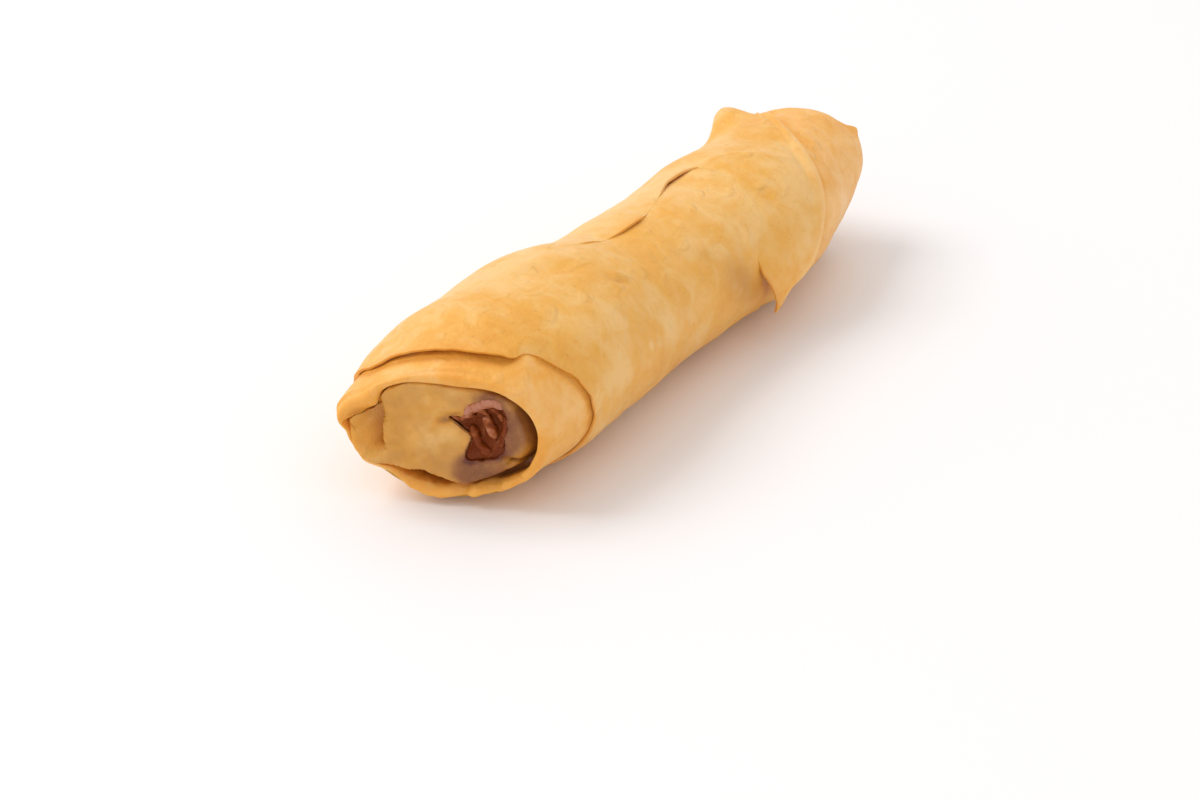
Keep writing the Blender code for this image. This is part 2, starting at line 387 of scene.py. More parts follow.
# %% Finishes
class Finish:
    """A material with one Principled shader, whose constants are set on the shader's own sockets."""

    def __init__(self, name, constants):
        self.material = bpy.data.materials.new(name)
        self.material.use_nodes = True
        self.tree = self.material.node_tree
        self.shader = self.tree.nodes["Principled BSDF"]
        for socket, value in constants.items():
            self.feed(self.shader.inputs[socket], value)

    def feed(self, socket, value):
        """Links a wire to the socket, or sets the socket's own value."""
        if isinstance(value, Wire):
            self.tree.links.new(value.socket, socket)
        elif isinstance(value, tuple) and socket.type == "RGBA":
            socket.default_value = (*value, 1.0)
        else:
            socket.default_value = value

    def add(self, kind, settings, sockets, out=0):
        """A node of this type: its settings first, then its sockets by name or number."""
        node = self.tree.nodes.new(kind)
        for setting, value in settings.items():
            setattr(node, setting, value)
        for key, value in sockets.items():
            self.feed(node.inputs[key], value)
        return Wire(self, node.outputs[out])

    def place(self):
        """Object coordinates in millimetres."""
        metres = self.add("ShaderNodeTexCoord", {}, {}, "Object")
        return self.add("ShaderNodeVectorMath", {"operation": "SCALE"}, {0: metres, "Scale": 1 / MM})

    def stretched(self, place, scale):
        """The place with each axis scaled, for marks that are longer one way."""
        return self.add("ShaderNodeVectorMath", {"operation": "MULTIPLY"}, {0: place, 1: scale})

    def noise(self, place, size, detail=2.0, rough=0.5, twist=0.0):
        """Soft noise about 0.5 with features of this size in millimetres."""
        sockets = {"Vector": place, "Scale": 1 / size, "Detail": detail, "Roughness": rough}
        return self.add("ShaderNodeTexNoise", {}, {**sockets, "Distortion": twist})

    def mark(self, name):
        """A number stored on the mesh."""
        return self.add("ShaderNodeAttribute", {"attribute_name": name}, {}, "Fac")

    def blend(self, share, first, second):
        """Colours mixed by a share from 0 to 1."""
        settings = {"data_type": "RGBA", "blend_type": "MIX", "clamp_factor": True}
        return self.add("ShaderNodeMix", settings, {0: share, 6: first, 7: second}, 2)

    def relief(self, height, depth, normal=None):
        """Bump of a 0 to 1 height that stands depth millimetres tall, over any earlier bump."""
        sockets = {"Height": height, "Distance": depth * MM, "Strength": 1.0}
        if normal is not None:
            sockets["Normal"] = normal
        return self.add("ShaderNodeBump", {}, sockets)

    def set(self, socket, value):
        """Feeds one socket of the shader."""
        self.feed(self.shader.inputs[socket], value)


# %% [markdown]
# ## The finish of fried skin
#
# Thin wheat skin fries to a pale gold that is never even: honey where it lay in
# the oil, paler and a little pink over steam pockets, browner along thin edges,
# and stained grey-purple where the filling has bled into it. The marks edge, tone
# and damp carry those places from the mesh, and noise of several sizes breaks them
# up: broad areas, patches, a fine mottle, a grain, streaks along the roll and
# scattered blisters. Tone also carries painted light: below 0 it is painted shade,
# brown and then nearly black, in the mouth, in folds, hollows and creases and under
# edges, and above 0 it is partly painted sheen and painted light. Its gloss is a
# film of oil, so the roughness is low and uneven.

# %% Fried skin
GOLD = (0.86, 0.41, 0.066)        # most of the skin
HONEY = (0.77, 0.31, 0.028)       # where it lay in the oil, along cut edges, and partly where shade is painted
PALE = (0.91, 0.52, 0.175)        # over pockets of steam, painted sheen and light where tone is above 0, and on blisters
BROWN_AND_SHADE = (0.46, 0.165, 0.010)      # tone below -0.4, which is mostly painted shade, and small flecks
CREVICE_SHADE = (0.20, 0.055, 0.002)      # tone below -1.2: painted shade in the deepest folds and crevices
OILY = (0.59, 0.26, 0.034)        # damp above 0: skin soaked with oil round a stain
STAIN = (0.25, 0.082, 0.024)      # damp above 0.4: the filling has bled through
WINE = (0.115, 0.018, 0.003)      # damp above 1.15: the filling shows almost bare


def fried_skin(name):
    """Pastry finish that reads the attributes edge, tone and damp."""
    constants = {"Metallic": 0.0, "IOR": 1.42, "Coat Weight": 0.10, "Coat Roughness": 0.28}
    glow = {"Subsurface Weight": 0.22, "Subsurface Scale": 1.6 * MM}
    finish = Finish(name, {**constants, **glow, "Subsurface Radius": (1.0, 0.42, 0.12)})
    place = finish.place()
    broad = finish.noise(place, 13.0, detail=2.0, rough=0.5, twist=0.4)
    patch = finish.noise(place, 4.2, detail=3.0, rough=0.55, twist=0.6)
    fine = finish.noise(place, 1.1, detail=3.0, rough=0.6)
    grain = finish.noise(place, 0.28, detail=2.0, rough=0.6)
    drawn = finish.stretched(place, (1.0, 0.45, 0.45))
    streak = finish.noise(drawn, 1.3, detail=3.0, rough=0.6, twist=0.4)
    blister = finish.noise(place, 2.7, detail=0.0, rough=0.0).between(0.60, 0.80)
    tone = finish.mark("tone")
    edge = finish.mark("edge")
    damp = finish.mark("damp")
    # tone above 0, partly painted sheen and light, pales the skin; tone below 0, mostly painted shade, warms
    # and browns it
    warm = (broad * 0.5 + patch * 0.38 + streak * 0.12 - tone * 0.22 + 0.02).between(0.36, 0.58)
    color = finish.blend(warm, PALE, GOLD)
    honey = (broad * 0.4 + patch * 0.35 + fine * 0.25 - tone * 0.30).between(0.50, 0.72)
    color = finish.blend(honey * 0.7, color, HONEY)
    # painted shade: tone below -0.4 browns the skin, and tone below -1.2 makes it nearly black
    color = finish.blend((tone * -1.0).between(0.4, 1.3), color, BROWN_AND_SHADE)
    color = finish.blend((tone * -1.0).between(1.2, 2.2), color, CREVICE_SHADE)
    flecks = finish.noise(place, 0.75, detail=1.0, rough=0.4).between(0.66, 0.74) * fine.between(0.45, 0.65)
    color = finish.blend(flecks * 0.22, color, BROWN_AND_SHADE)
    color = finish.blend(blister * 0.22, color, PALE)
    color = finish.blend(edge * (0.08 + patch * 0.4), color, HONEY)
    color = finish.blend(damp.between(0.0, 0.5) * 0.75, color, OILY)
    color = finish.blend(damp.between(0.4, 1.1) * (0.35 + patch * 0.6 + fine * 0.45), color, STAIN)
    color = finish.blend(damp.between(1.15, 1.9), color, WINE)
    finish.set("Base Color", color)
    finish.set("Roughness", patch * 0.22 + grain * 0.14 - damp * 0.12 + 0.30)
    wrinkle = finish.relief(streak, 0.07, finish.relief(patch, 0.32))
    pimples = finish.relief(fine, 0.13, finish.relief(blister, 0.14, wrinkle))
    finish.set("Normal", finish.relief(grain, 0.025, pimples))
    return finish.material


pastry = fried_skin("fried_skin")
print("finish:", pastry.name, len(pastry.node_tree.nodes), "nodes")

# %% [markdown]
# ## The finish of the filling
#
# The filling is dark, red-purple and moist: a deep colour with a soft, uneven
# gloss. It is rosier where a lump of it is raised and darkest in the hollows, which
# is partly its own colour and partly painted highlight and painted shade. The mark
# raised carries that from the mesh, from about 0 in a hollow to 1 on the strand
# that stands out most.

# %% Cooked filling
DEEP_RED = (0.195, 0.032, 0.0012)   # in the hollows, partly painted shade
ROSE = (0.46, 0.135, 0.036)         # where it stands up, partly painted highlight
PINK_HIGHLIGHT = (0.52, 0.215, 0.135)         # painted highlight on its highest lumps


def cooked_filling(name):
    """Dark moist filling that reads the attribute raised."""
    constants = {"Metallic": 0.0, "Coat Weight": 0.02, "Coat Roughness": 0.25, "IOR": 1.28}
    finish = Finish(name, constants)
    place = finish.place()
    lump = finish.noise(place, 1.5, detail=3.0, rough=0.6, twist=0.8)
    fine = finish.noise(place, 0.35, detail=2.0, rough=0.6)
    raised = finish.mark("raised")
    # rosier and pinker on raised lumps, partly painted highlight
    rosy = (lump * 0.6 + fine * 0.3 + raised * 0.7 - 0.45).between(0.15, 0.85)
    pink = (lump * 0.5 + raised - 0.25).between(0.6, 1.2)
    finish.set("Base Color", finish.blend(pink, finish.blend(rosy, DEEP_RED, ROSE), PINK_HIGHLIGHT))
    finish.set("Roughness", fine * 0.3 + 0.30)
    finish.set("Normal", finish.relief(fine, 0.12, finish.relief(lump, 0.5)))
    return finish.material


fruit = cooked_filling("cooked_filling")
print("finish:", fruit.name, len(fruit.node_tree.nodes), "nodes")

# %% [markdown]
# ## Edges of the sheets
#
# The near and far edges of the last turn run round the roll like ragged rings, so
# each is a curve of x against the angle. The flap is different: it is the last
# corner of the sheet. Its free edge runs along the top from the near end, turns
# at x = 21 and goes down the flank to the tip that hangs there, so it is a path
# of (x, angle) points. Opposite each point of that path is a point on the flap's
# other side, which is the back of the roll and then the collar.

# %% Edge stations
NEAR_EDGE = (      # (angle, x)
    (-110, -53.0), (-55, -55.2), (-15, -53.6), (10, -51.4), (28, -49.0), (33.5, -47.9),
    (37, -45.8), (48, -43.8), (65, -41.0), (82, -39.0), (95, -38.4), (130, -39.0),
    (155, -40.6), (205, -41.4), (225, -46.0),
)
FAR_EDGE = (       # (angle, x)
    (-100, 56.0), (-48, 60.5), (-30, 56.0), (-7, 49.8), (17, 43.8), (39, 39.7),
    (62, 36.0), (88, 31.4), (99, 29.2), (118, 28.6), (137, 28.5), (152, 33.5), (208, 35.0),
    (235, 49.0),
)
# Ribs of the flap: (x, angle) on its free edge, (x, angle) on its other side.
RIBS = (
    (-54.2, -58, -53.0, -150), (-30.0, -16, -30.0, -150), (-14.0, -1, -14.0, -150),
    (-1.0, 4, 0.0, -150), (5.0, 0, 9.0, -150), (10.0, -6, 18.0, -150),
    (16.0, -13, 30.0, -150), (20.0, -12, 42.0, -150), (21.9, -7, 52.0, -145),
    (22.0, 4, 57.0, -95), (21.8, 17, 60.5, -48), (21.2, 30, 56.0, -30),
    (20.0, 44, 49.8, -7), (18.0, 56, 43.8, 17), (15.6, 66, 39.7, 39),
    (14.6, 76, 36.0, 62), (14.6, 84, 31.6, 84), (15.2, 92, 28.2, 94),
    (16.0, 100, 24.6, 100), (17.0, 107, 20.2, 105), (18.6, 119, 19.2, 118),
)
ROUND = 14.5       # mean radius, which turns an angle into millimetres of skin


def skin_distance(first, second):
    """Length between (x, angle) points as if the skin were laid flat."""
    dx = second[..., 0] - first[..., 0]
    around = np.radians(second[..., 1] - first[..., 1]) * ROUND
    return np.hypot(dx, around)


ribs = np.array(RIBS, dtype=float)
spacing = np.maximum(
    skin_distance(ribs[:-1, :2], ribs[1:, :2]), skin_distance(ribs[:-1, 2:], ribs[1:, 2:])
)
rib_at = np.concatenate(([0.0], np.cumsum(spacing)))
print("flap:", len(ribs), "ribs over", round(rib_at[-1], 1), "mm")


def rib_value(column, at):
    """One number of the ribs, smooth along the flap."""
    return smooth_through(np.stack([rib_at, ribs[:, column]], axis=-1), at)


# %% [markdown]
# ## Distances to a line drawn on the skin
#
# Creases and the place where the turn dives under the flap are drawn as lines of
# (x, angle) points. The signed distance to such a line, worked out for every grid
# point at once, is all that a crease or a fade needs.


# %% Lines on the skin
def flat(x, angle):
    """The skin laid flat: x, and millimetres round the roll with the angle between -180 and 180."""
    around = np.radians(turned(angle)) * ROUND
    return np.stack([np.broadcast_to(x, around.shape), around], axis=-1)


def from_line(x, angle, line):
    """Distance to the nearest segment, positive on its left, and how far along the line that is, 0 to 1."""
    points = flat(x, angle)[..., None, :]
    corners = flat(*np.array(line, dtype=float).T)
    start, run = corners[:-1], np.diff(corners, axis=0)
    length = np.hypot(*run.T)
    offset = points - start
    along = np.clip((offset * run).sum(axis=-1) / length**2, 0, 1)
    gap = offset - along[..., None] * run
    distance = np.hypot(gap[..., 0], gap[..., 1])
    nearest = distance.argmin(axis=-1)[..., None]
    side = np.sign(run[:, 0] * offset[..., 1] - run[:, 1] * offset[..., 0])
    reached = (np.cumsum(length) - length + along * length) / length.sum()

    def of_nearest(values):
        """Of one value for each segment, that of the nearest."""
        return np.take_along_axis(values, nearest, axis=-1)[..., 0]

    return of_nearest(distance) * of_nearest(side), of_nearest(reached)


def crease(x, angle, line, width, height):
    """A ridge, or a valley below 0: height times a bell of the distance times a half round along the line."""
    distance, along = from_line(x, angle, line)
    taper = np.sqrt(np.clip(4 * along * (1 - along), 0, 1)) * 0.8 + 0.2
    return height * bell(distance, width) * taper


free_line = [(rib_value(0, at), rib_value(1, at)) for at in np.linspace(0, rib_at[-1], 90)]
print("the flap's free edge is", round(float(skin_distance(ribs[:-1], ribs[1:]).sum()), 1), "mm long")

# %% [markdown]
# ## Relief that all the outer sheets share
#
# Where two sheets lie flat on each other they have to rise and fall together, or
# they would cut through one another. So the soft bumps and the creases are one
# function of the place on the roll.

# %% Shared relief
CREASES = (       # (line of (x, angle), width, height)
    (((-31.5, -6), (-29.0, -2), (-26.3, 4), (-24.2, 12), (-23.9, 17)), 2.0, -0.55),
    (((-33.0, -14), (-28.0, -9), (-23.0, -3), (-19.0, 6)), 1.6, 0.25),
    (((-5.4, 26), (-6.9, 31), (-7.5, 36)), 0.5, -0.18),
    (((-20.4, 27), (-20.3, 33), (-18.0, 38)), 0.45, -0.35),
    (((-19.0, 28), (-17.8, 32), (-16.8, 36)), 0.8, 0.40),
    (((24.1, 33), (24.0, 44)), 0.9, -0.28),
    (((21.7, -10), (25.4, -6), (27.6, -1), (29.2, 5), (31.5, 14), (33.7, 22), (36.8, 31)), 0.9, 0.40),
    (((40.4, 8), (39.8, 18), (38.0, 29), (35.3, 44)), 1.2, -0.30),
    (((11.6, 56), (10.7, 70)), 1.0, -0.28),
    (((14.6, 48), (13.9, 60), (14.4, 69)), 0.9, 0.22),
    (((-24.2, 51), (-24.0, 60)), 0.8, -0.18),
    (((5.6, 79), (7.9, 87), (10.8, 95)), 1.1, 0.25),
    (((-36.0, 40), (-32.0, 62), (-31.0, 84)), 2.2, 0.25),
    (((-10.0, 62), (-6.0, 78), (-6.0, 95)), 2.0, -0.25),
)


def soft_relief(x, angle):
    """Soft bumps of three sizes, none where the roll lies on the ground, in millimetres."""
    points = skin(x, angle, 0.0)
    stretched = points * (1.0, 0.55, 0.55)
    soft = 0.24 * bumps(points, 9.0, 1) + 0.11 * bumps(stretched, 3.4, 2) + 0.03 * bumps(points, 1.5, 3)
    return soft * smooth_step(-0.98, -0.8, np.cos(np.radians(angle)))


def relief(x, angle):
    """The soft bumps and the creases."""
    return soft_relief(x, angle) + sum(crease(x, angle, *one) for one in CREASES)


print("creases:", len(CREASES))

# %% [markdown]
# ## Patches of colour
#
# Some places of the skin are paler, over a pocket of steam or where it was clear
# of the oil, and some are dull and dark, where the filling has made it damp. A few
# broad patches are painted light instead: painted sheen high on the +Y side,
# painted light on the far -Y flank, and painted shade at the near end. They are
# soft round patches on the skin laid flat, shared by the outer sheets too.

# %% Patches
PATCHES = (       # (x, angle, radius, how much paler, how much damper)
    (-27.5, 52, 2.2, 0.5, 0.0), (-27.0, 66, 2.6, 0.6, 0.0), (-31.5, 80, 3.2, 0.6, 0.0),
    (-14.5, 75, 2.8, 0.6, 0.0), (-21.2, 79, 0.8, 1.0, 0.0), (-46.1, 39, 1.6, 0.6, 0.0),
    (6.3, 80, 0.8, 0.9, 0.0), (7.9, 87, 0.8, 0.9, 0.0), (10.6, 94, 0.9, 0.9, 0.0),
    # painted sheen: paler high on the +Y side
    (-30.0, -28, 9.0, 0.5, 0.0), (-10.0, -24, 9.0, 0.6, 0.0), (10.0, -32, 9.0, 0.6, 0.0),
    (2.4, 49, 2.4, 0.0, 0.20), (6.8, 73, 4.0, -0.1, 0.30), (10.4, 87, 4.0, -0.4, 0.40),
    (-2.1, 37, 2.2, 0.0, 0.14), (-7.0, 33, 2.0, 0.0, 0.14), (-18.9, 31, 2.2, 0.0, 0.16),
    (13.8, 101, 2.5, 0.0, 0.24), (24.0, 42, 2.0, 0.0, 0.06), (33.0, 38, 2.4, 0.0, 0.06),
    # painted shade at the near end on its -Y flank and on its top, and painted light on the far -Y flank
    (-56.0, 76, 16.0, -0.34, 0.0), (-54.0, -16, 14.0, -0.20, 0.0), (26.0, 62, 15.0, 0.35, 0.0),
)


def patches(x, angle):
    """How much paler and how much damper the skin is: the sum of a bell round each patch."""
    table = np.array(PATCHES, dtype=float)
    away = flat(x, angle)[..., None, :] - flat(table[:, 0], table[:, 1])
    share = bell(np.hypot(away[..., 0], away[..., 1]), table[:, 2])
    return (share * table[:, 3]).sum(axis=-1), (share * table[:, 4]).sum(axis=-1)


print("patches of colour:", len(PATCHES))

# %% [markdown]
# ## The last turn of the sheet
#
# One closed ring of skin between the near edge and the far edge. Its near edge
# stands off the sleeve on the upper half, where the gap shows dark, and lies
# tight past a small fold at 35 degrees. The flap and the last turn lie on each
# other, so how high they stand is worked out by functions of the place that both
# of them use.

# %% Lift of the outer sheets
NEAR_FLARE = (      # (angle, how far the near edge stands off; below 0 it is pressed in)
    (-110, -0.35), (-60, -0.32), (-45, -0.22), (-28, 0.05), (-12, 0.22), (10, 0.22), (28, 0.18), (35, -0.1),
    (39, -0.36), (55, -0.38), (68, -0.25), (82, -0.08), (95, -0.18), (115, -0.38), (180, -0.40),
)
FAR_FLARE = 0.22    # how far the collar stands off
LOOSE_ANGLE = (-38, -8)   # past the second angle it does so fully
LEAST_LOOSE = 0.15  # and before the first, beside the raised corner, by this share
FLARE_REACH = 6.0   # both edges lie down again over this distance
BUMP_RISE = (       # (x, height), after a hollow in front of it
    (26, 0.0), (34, -0.6), (40, -1.6), (43.8, -0.7), (46.0, 0.3), (48.0, 1.8), (50.0, 3.2), (51.3, 3.4),
    (53.5, 2.2), (55.8, -0.3), (57.5, -0.6), (61, -0.6),
)
BUMP_ANGLE = (-45.0, 13.5)   # where it is highest, and its spread


def edge_wobble(angle, seed):
    """Small raggedness of a cut edge: bumps of two sizes read round a circle, in millimetres."""
    ring = np.stack([np.cos(np.radians(angle)), np.sin(np.radians(angle)), 0 * angle], axis=-1)
    return 0.28 * bumps(ring * ROUND, 3.0, seed) + 0.12 * bumps(ring * ROUND, 1.1, seed + 1)


def near_edge(angle):
    """x of the near edge of the last turn."""
    return smooth_round(NEAR_EDGE, angle) + edge_wobble(angle, 11)


def collar_edge(angle):
    """x of the collar, the far edge of the last turn and of the flap."""
    return smooth_round(FAR_EDGE, angle)


def turn_lift(x, angle):
    """Height over the turn below: one layer, the near edge's flare times its fall, and the relief."""
    from_near = x - smooth_round(NEAR_EDGE, angle)
    near = smooth_round(NEAR_FLARE, angle) * (1 - smooth_step(0, FLARE_REACH, from_near)) ** 1.5
    return LAYER + near + relief(x, angle)


def bump_lift(x, angle):
    """The raised corner at the far end, high on the +Y side: a height along x times a bell round the roll."""
    middle, spread = BUMP_ANGLE
    return smooth_through(BUMP_RISE, x) * bell(turned(angle) - middle, spread)


def far_flare(x, angle):
    """How far the collar stands off: its flare times how loose it is there times an S-curve to 0 inwards."""
    loose = LEAST_LOOSE + (1 - LEAST_LOOSE) * smooth_step(*LOOSE_ANGLE, turned(angle))
    return FAR_FLARE * loose * (1 - smooth_step(0, FLARE_REACH, collar_edge(angle) - x))


print("raised corner:", max(height for x, height in BUMP_RISE), "mm high")

# %% [markdown]
# ## The ring itself
#
# The turn could be cut out along the flap's edge, but then a gap would open under
# a lifted lip. So it runs on under the flap instead, and drops there by one sheet,
# so that the flap can lie flush beside it.

# %% The last turn
DIVE = (-0.1, 2.0)       # how far past the flap's free edge it begins and ends to drop
DIVE_ANGLE = (-172, -135)   # and between these angles, on the back, the drop comes in
COVER = 2.5              # it ends this far inside the flap's collar
COVERED = ((-140, 0.0), (-100, 1.0), (118, 1.0), (140, 0.0), (200, 0.0))   # (angle, is it covered)
UNDER_BUMP = 0.9         # under the flap's raised corner it rises by this share
CUT_WIDTH = 0.7          # a cut edge is darker over this width
GAP_LIGHT = (1.3, 0.9, 0.2)   # painted light in the gap under the flap's free edge: (distance, half width, by how much)
TURN_ROWS = 214
TURN_COLUMNS = 190


def last_turn():
    """Ring of skin: x = (1 - s) near edge + s far edge along the rows, columns once round from the top."""
    angle = np.linspace(0, 360, TURN_COLUMNS, endpoint=False)[None, :]
    share = np.linspace(0, 1, TURN_ROWS)[:, None]
    covered = smooth_round(COVERED, angle)
    far = collar_edge(angle) - COVER * covered + edge_wobble(angle, 13)
    x = near_edge(angle) * (1 - share) + far * share
    angle = np.broadcast_to(angle, x.shape)
    open_side, _ = from_line(x, angle, free_line)
    drop = SHEET * smooth_step(*DIVE, -open_side) * smooth_step(*DIVE_ANGLE, turned(angle))
    flare = far_flare(x, angle) * (1 - covered)
    points = skin(x, angle, turn_lift(x, angle) - drop + flare + bump_lift(x, angle) * UNDER_BUMP)
    edge = bell(x - near_edge(angle), CUT_WIDTH) + bell(far - x, CUT_WIDTH)
    paler, damper = patches(x, angle)
    return points, edge, paler + strip(-open_side, GAP_LIGHT), damper


points, edge, tone, damp = last_turn()
marks = {"edge": edge, "tone": tone, "damp": damp}
piece = make_piece("last_turn", points, grid_faces(*points.shape[:2], True), marks)
belongs(thicken(piece, SHEET), "wrapper", pastry)

# %% [markdown]
# ## The flap
#
# A ruled patch: for each point of the free edge a rib runs across to the other
# side. It lies tight except where its edge has sprung open, and its tip hangs
# away from the flank. The collar has a soft hem: a low ridge along the cut with a
# shallow valley behind it. On the back of the roll the patch sinks out of sight.

# %% Lift of the flap
FLAP_LIPS = (      # (rib number, how far the free edge stands off there)
    (0, -0.06), (1, -0.06), (1.8, -0.05), (2.1, 0.20), (2.35, 0.0), (2.6, 0.45), (3, 0.70), (3.3, 0.30),
    (3.7, 0.0), (4.6, 0.0), (5.2, 0.35), (5.9, 0.80), (6.6, 0.75), (7.3, 0.45), (8.0, 0.08), (8.6, -0.06),
    (10, -0.06), (12.5, -0.06), (14.6, 0.0), (15.4, 0.35), (16, 0.8), (17, 1.8), (18, 2.5), (19, 2.8),
)
FLAP_REACH = (     # (rib number, over what distance from the edge that dies away)
    (0, 2.2), (8, 2.4), (13, 4.0), (15, 7.0), (17, 14.0), (19, 20.0),
)
HEM = (1.4, 1.0, 0.07)          # the ridge: (distance from the collar, half width, height)
VALLEY = (4.3, 1.3, 0.12)       # the valley: (distance from the collar, half width, depth)
HEM_ANGLE = (-40, -10)          # between these angles the hem comes in
COLLAR_RIBS = (8.0, 9.5)        # between these ribs the other side turns from the back to the collar
BACK_SINK = (14, 0.55)          # on the back it sinks within this distance of its other side, by this
NOT_COLLAR = 50                 # the back counts as this much further from the collar
FLAP_CLEAR = 0.02               # the flap lies this far over the last turn


def flap_lift(x, angle, number, from_free, from_other, from_collar):
    """Lift of the turn and its raised corner, plus the sprung edge, the flare and the hem, less the sink."""
    lip = smooth_through(FLAP_LIPS, number) * np.exp(-from_free / smooth_through(FLAP_REACH, number))
    on_back = 1 - smooth_step(*COLLAR_RIBS, number)
    over, by = BACK_SINK
    lift = turn_lift(x, angle) + bump_lift(x, angle) + lip + far_flare(x, angle) * (1 - on_back)
    lift = lift + (strip(from_collar, HEM) - strip(from_collar, VALLEY)) * smooth_step(*HEM_ANGLE, angle)
    return lift - by * on_back * (1 - smooth_step(0, over, from_other)) + FLAP_CLEAR


print("the flap's tip stands off by", FLAP_LIPS[-1][1], "mm")

# %% The flap
COLLAR_HIGHLIGHT = (0.6, 0.9, 0.4)  # painted highlight along the collar's hem: (distance, half width, by how much)
FLAP_ACROSS = 84
FLAP_ALONG = 340


def flap_sheet():
    """Ruled grid between the free edge and the other side: (1 - s) times one plus s times the other."""
    at = np.linspace(0, rib_at[-1], FLAP_ALONG)[None, :]
    number = np.interp(at, rib_at, np.arange(len(ribs)))
    free_x, free_angle, other_x, other_angle = (rib_value(column, at) for column in range(4))
    across = np.linspace(0, 1, FLAP_ACROSS)[:, None]
    x = free_x * (1 - across) + other_x * across
    angle = free_angle * (1 - across) + other_angle * across
    from_free = np.abs(from_line(x, angle, free_line)[0])
    free, other = np.stack([free_x, free_angle], axis=-1), np.stack([other_x, other_angle], axis=-1)
    from_other = (1 - across) * skin_distance(free, other)
    from_collar = from_other + (1 - smooth_step(*COLLAR_RIBS, number)) * NOT_COLLAR
    points = skin(x, angle, flap_lift(x, angle, number, from_free, from_other, from_collar))
    edge = bell(from_free, CUT_WIDTH) * smooth_step(0.05, 0.5, smooth_through(FLAP_LIPS, number))
    paler, damper = patches(x, angle)
    return points, edge, paler + strip(from_collar, COLLAR_HIGHLIGHT), damper


points, edge, tone, damp = flap_sheet()
marks = {"edge": edge, "tone": tone, "damp": damp}
piece = make_piece("flap", points, grid_faces(*points.shape[:2], False), marks)
belongs(thicken(piece, SHEET), "wrapper", pastry)

# %% [markdown]
# ## The two ends
#
# Under the last turn is the turn that makes both ends. The near end is cut along a
# slanted plane, and the far end along a curve round the roll. Everything at an end
# is placed by how deep it lies behind that cut and how far inside its outline.

# %% Rings of the two ends
RIM_X = -56.6
RIM_SLANT = 0.40      # the near lip runs this much further out towards +Y
RIM_TRIES = 6         # repeats after which x has settled
FAR_RIM = (           # (angle, x)
    (-120, 57.5), (-60, 58.6), (-32, 59.2), (-6, 59.8), (14, 61.2), (27, 62.4), (35, 63.3), (42, 64.9),
    (49, 63.2), (62, 60.9), (77, 58.6), (91, 56.2), (135, 56.2), (200, 57.0),
)


def near_rim(angle):
    """x where the body meets the near lip's plane, by repeating x = RIM_X - RIM_SLANT * y(x)."""
    x = np.full(np.shape(angle), RIM_X)
    for _ in range(RIM_TRIES):
        x = RIM_X - RIM_SLANT * skin(x, angle, 0.0)[..., 1]
    return x


def behind_plane(across, depth):
    """Points with these (y, z), this deep behind the slanted plane of the near lip."""
    x = RIM_X - RIM_SLANT * across[..., 0] + depth
    return np.concatenate([x[..., None], across], axis=-1)


def near_ring(angle, depth, inset):
    """Points this deep behind the near lip's plane and this far in from its outline."""
    angle, depth, inset = np.broadcast_arrays(angle, depth, inset)
    return behind_plane(skin(near_rim(angle), angle, -inset)[..., 1:], depth)


def far_ring(angle, depth, inset):
    """Points this deep behind the far lip, whose x changes round the roll, and this far in."""
    angle, depth, inset = np.broadcast_arrays(angle, depth, inset)
    points = skin(smooth_round(FAR_RIM, angle), angle, -inset)
    points[..., 0] -= depth
    return points


print("near lip at the top, -Y, bottom, +Y:", np.round(near_rim(np.arange(4) * 90.0), 1).tolist())

# %% [markdown]
# ## The sleeve
#
# Each end of this turn is folded in and fried, so it finishes in a soft round lip.
# The near one is thickest high on the +Y side and thin below that. One closed tube
# goes from inside the near mouth, round the near lip, along the roll, round the far
# lip, back inside and through the roll to where it began.

# %% Lift and lips of the sleeve
LIP = (               # (angle, thickness of the near lip)
    (-100, 0.5), (-84, 0.4), (-77, 0.5), (-69, 2.3), (-62, 3.2), (-54, 3.1), (-46, 2.5), (-38, 1.7),
    (-30, 1.15), (-18, 1.05), (-8, 1.4), (4, 2.0), (14, 2.3), (26, 2.0), (40, 1.5), (60, 1.3), (90, 1.4),
    (115, 1.4), (135, 1.6), (150, 1.8), (165, 1.8), (180, 1.5), (194, 1.2), (204, 0.8), (214, 0.6),
    (225, 0.5),
)
FAR_LIP = 1.2         # thickness of the far lip
RIM_BACK = 0.9        # the outline of a lip is the sleeve's, this far back from the cut
TIGHT = (30, 44, 110, 135)          # the near edge of the last turn is tight between these angles
SLEEVE_RISE = 0.12                  # the sleeve swells by this there
SHOULDER_FOLD = (-46.8, 1.5, 38, 6.4, 0.55)   # a small fold: (x, half width, angle, spread, height)
FAR_SWELL = (         # at the far end: (angle, spread, height, from x, to x)
    (12.0, 30.0, 0.75, 50, 61), (64.0, 18.0, 0.6, 50, 58), (108.0, 24.0, -0.9, 36, 46),
)


def sleeve_lift(x, angle):
    """Soft bumps, plus a swelling by the tight part of the near edge, a small fold and the far swellings."""
    soft = soft_relief(x, angle) + 0.04 * bumps(skin(x, angle, 0.0), 2.6, 22)
    tight = arc(*TIGHT, angle) * arc(-56, -49, -40, -32, x)
    at, width, middle, spread, height = SHOULDER_FOLD
    fold = height * bell(x - at, width) * bell(angle - middle, spread)
    swell = sum(
        height * bell(turned(angle) - middle, spread) * smooth_step(start, stop, x)
        for middle, spread, height, start, stop in FAR_SWELL
    )
    return soft + SLEEVE_RISE * tight + fold + swell


def lip_thickness(angle):
    """Thickness of the near lip at this angle, times 1 + 0.12 of noise."""
    return smooth_round(LIP, angle) * (1 + 0.12 * bumps(near_ring(angle, 0.0, 0.0), 3.0, 32))


print("near lip:", min(thick for at, thick in LIP), "to", max(thick for at, thick in LIP), "mm thick")

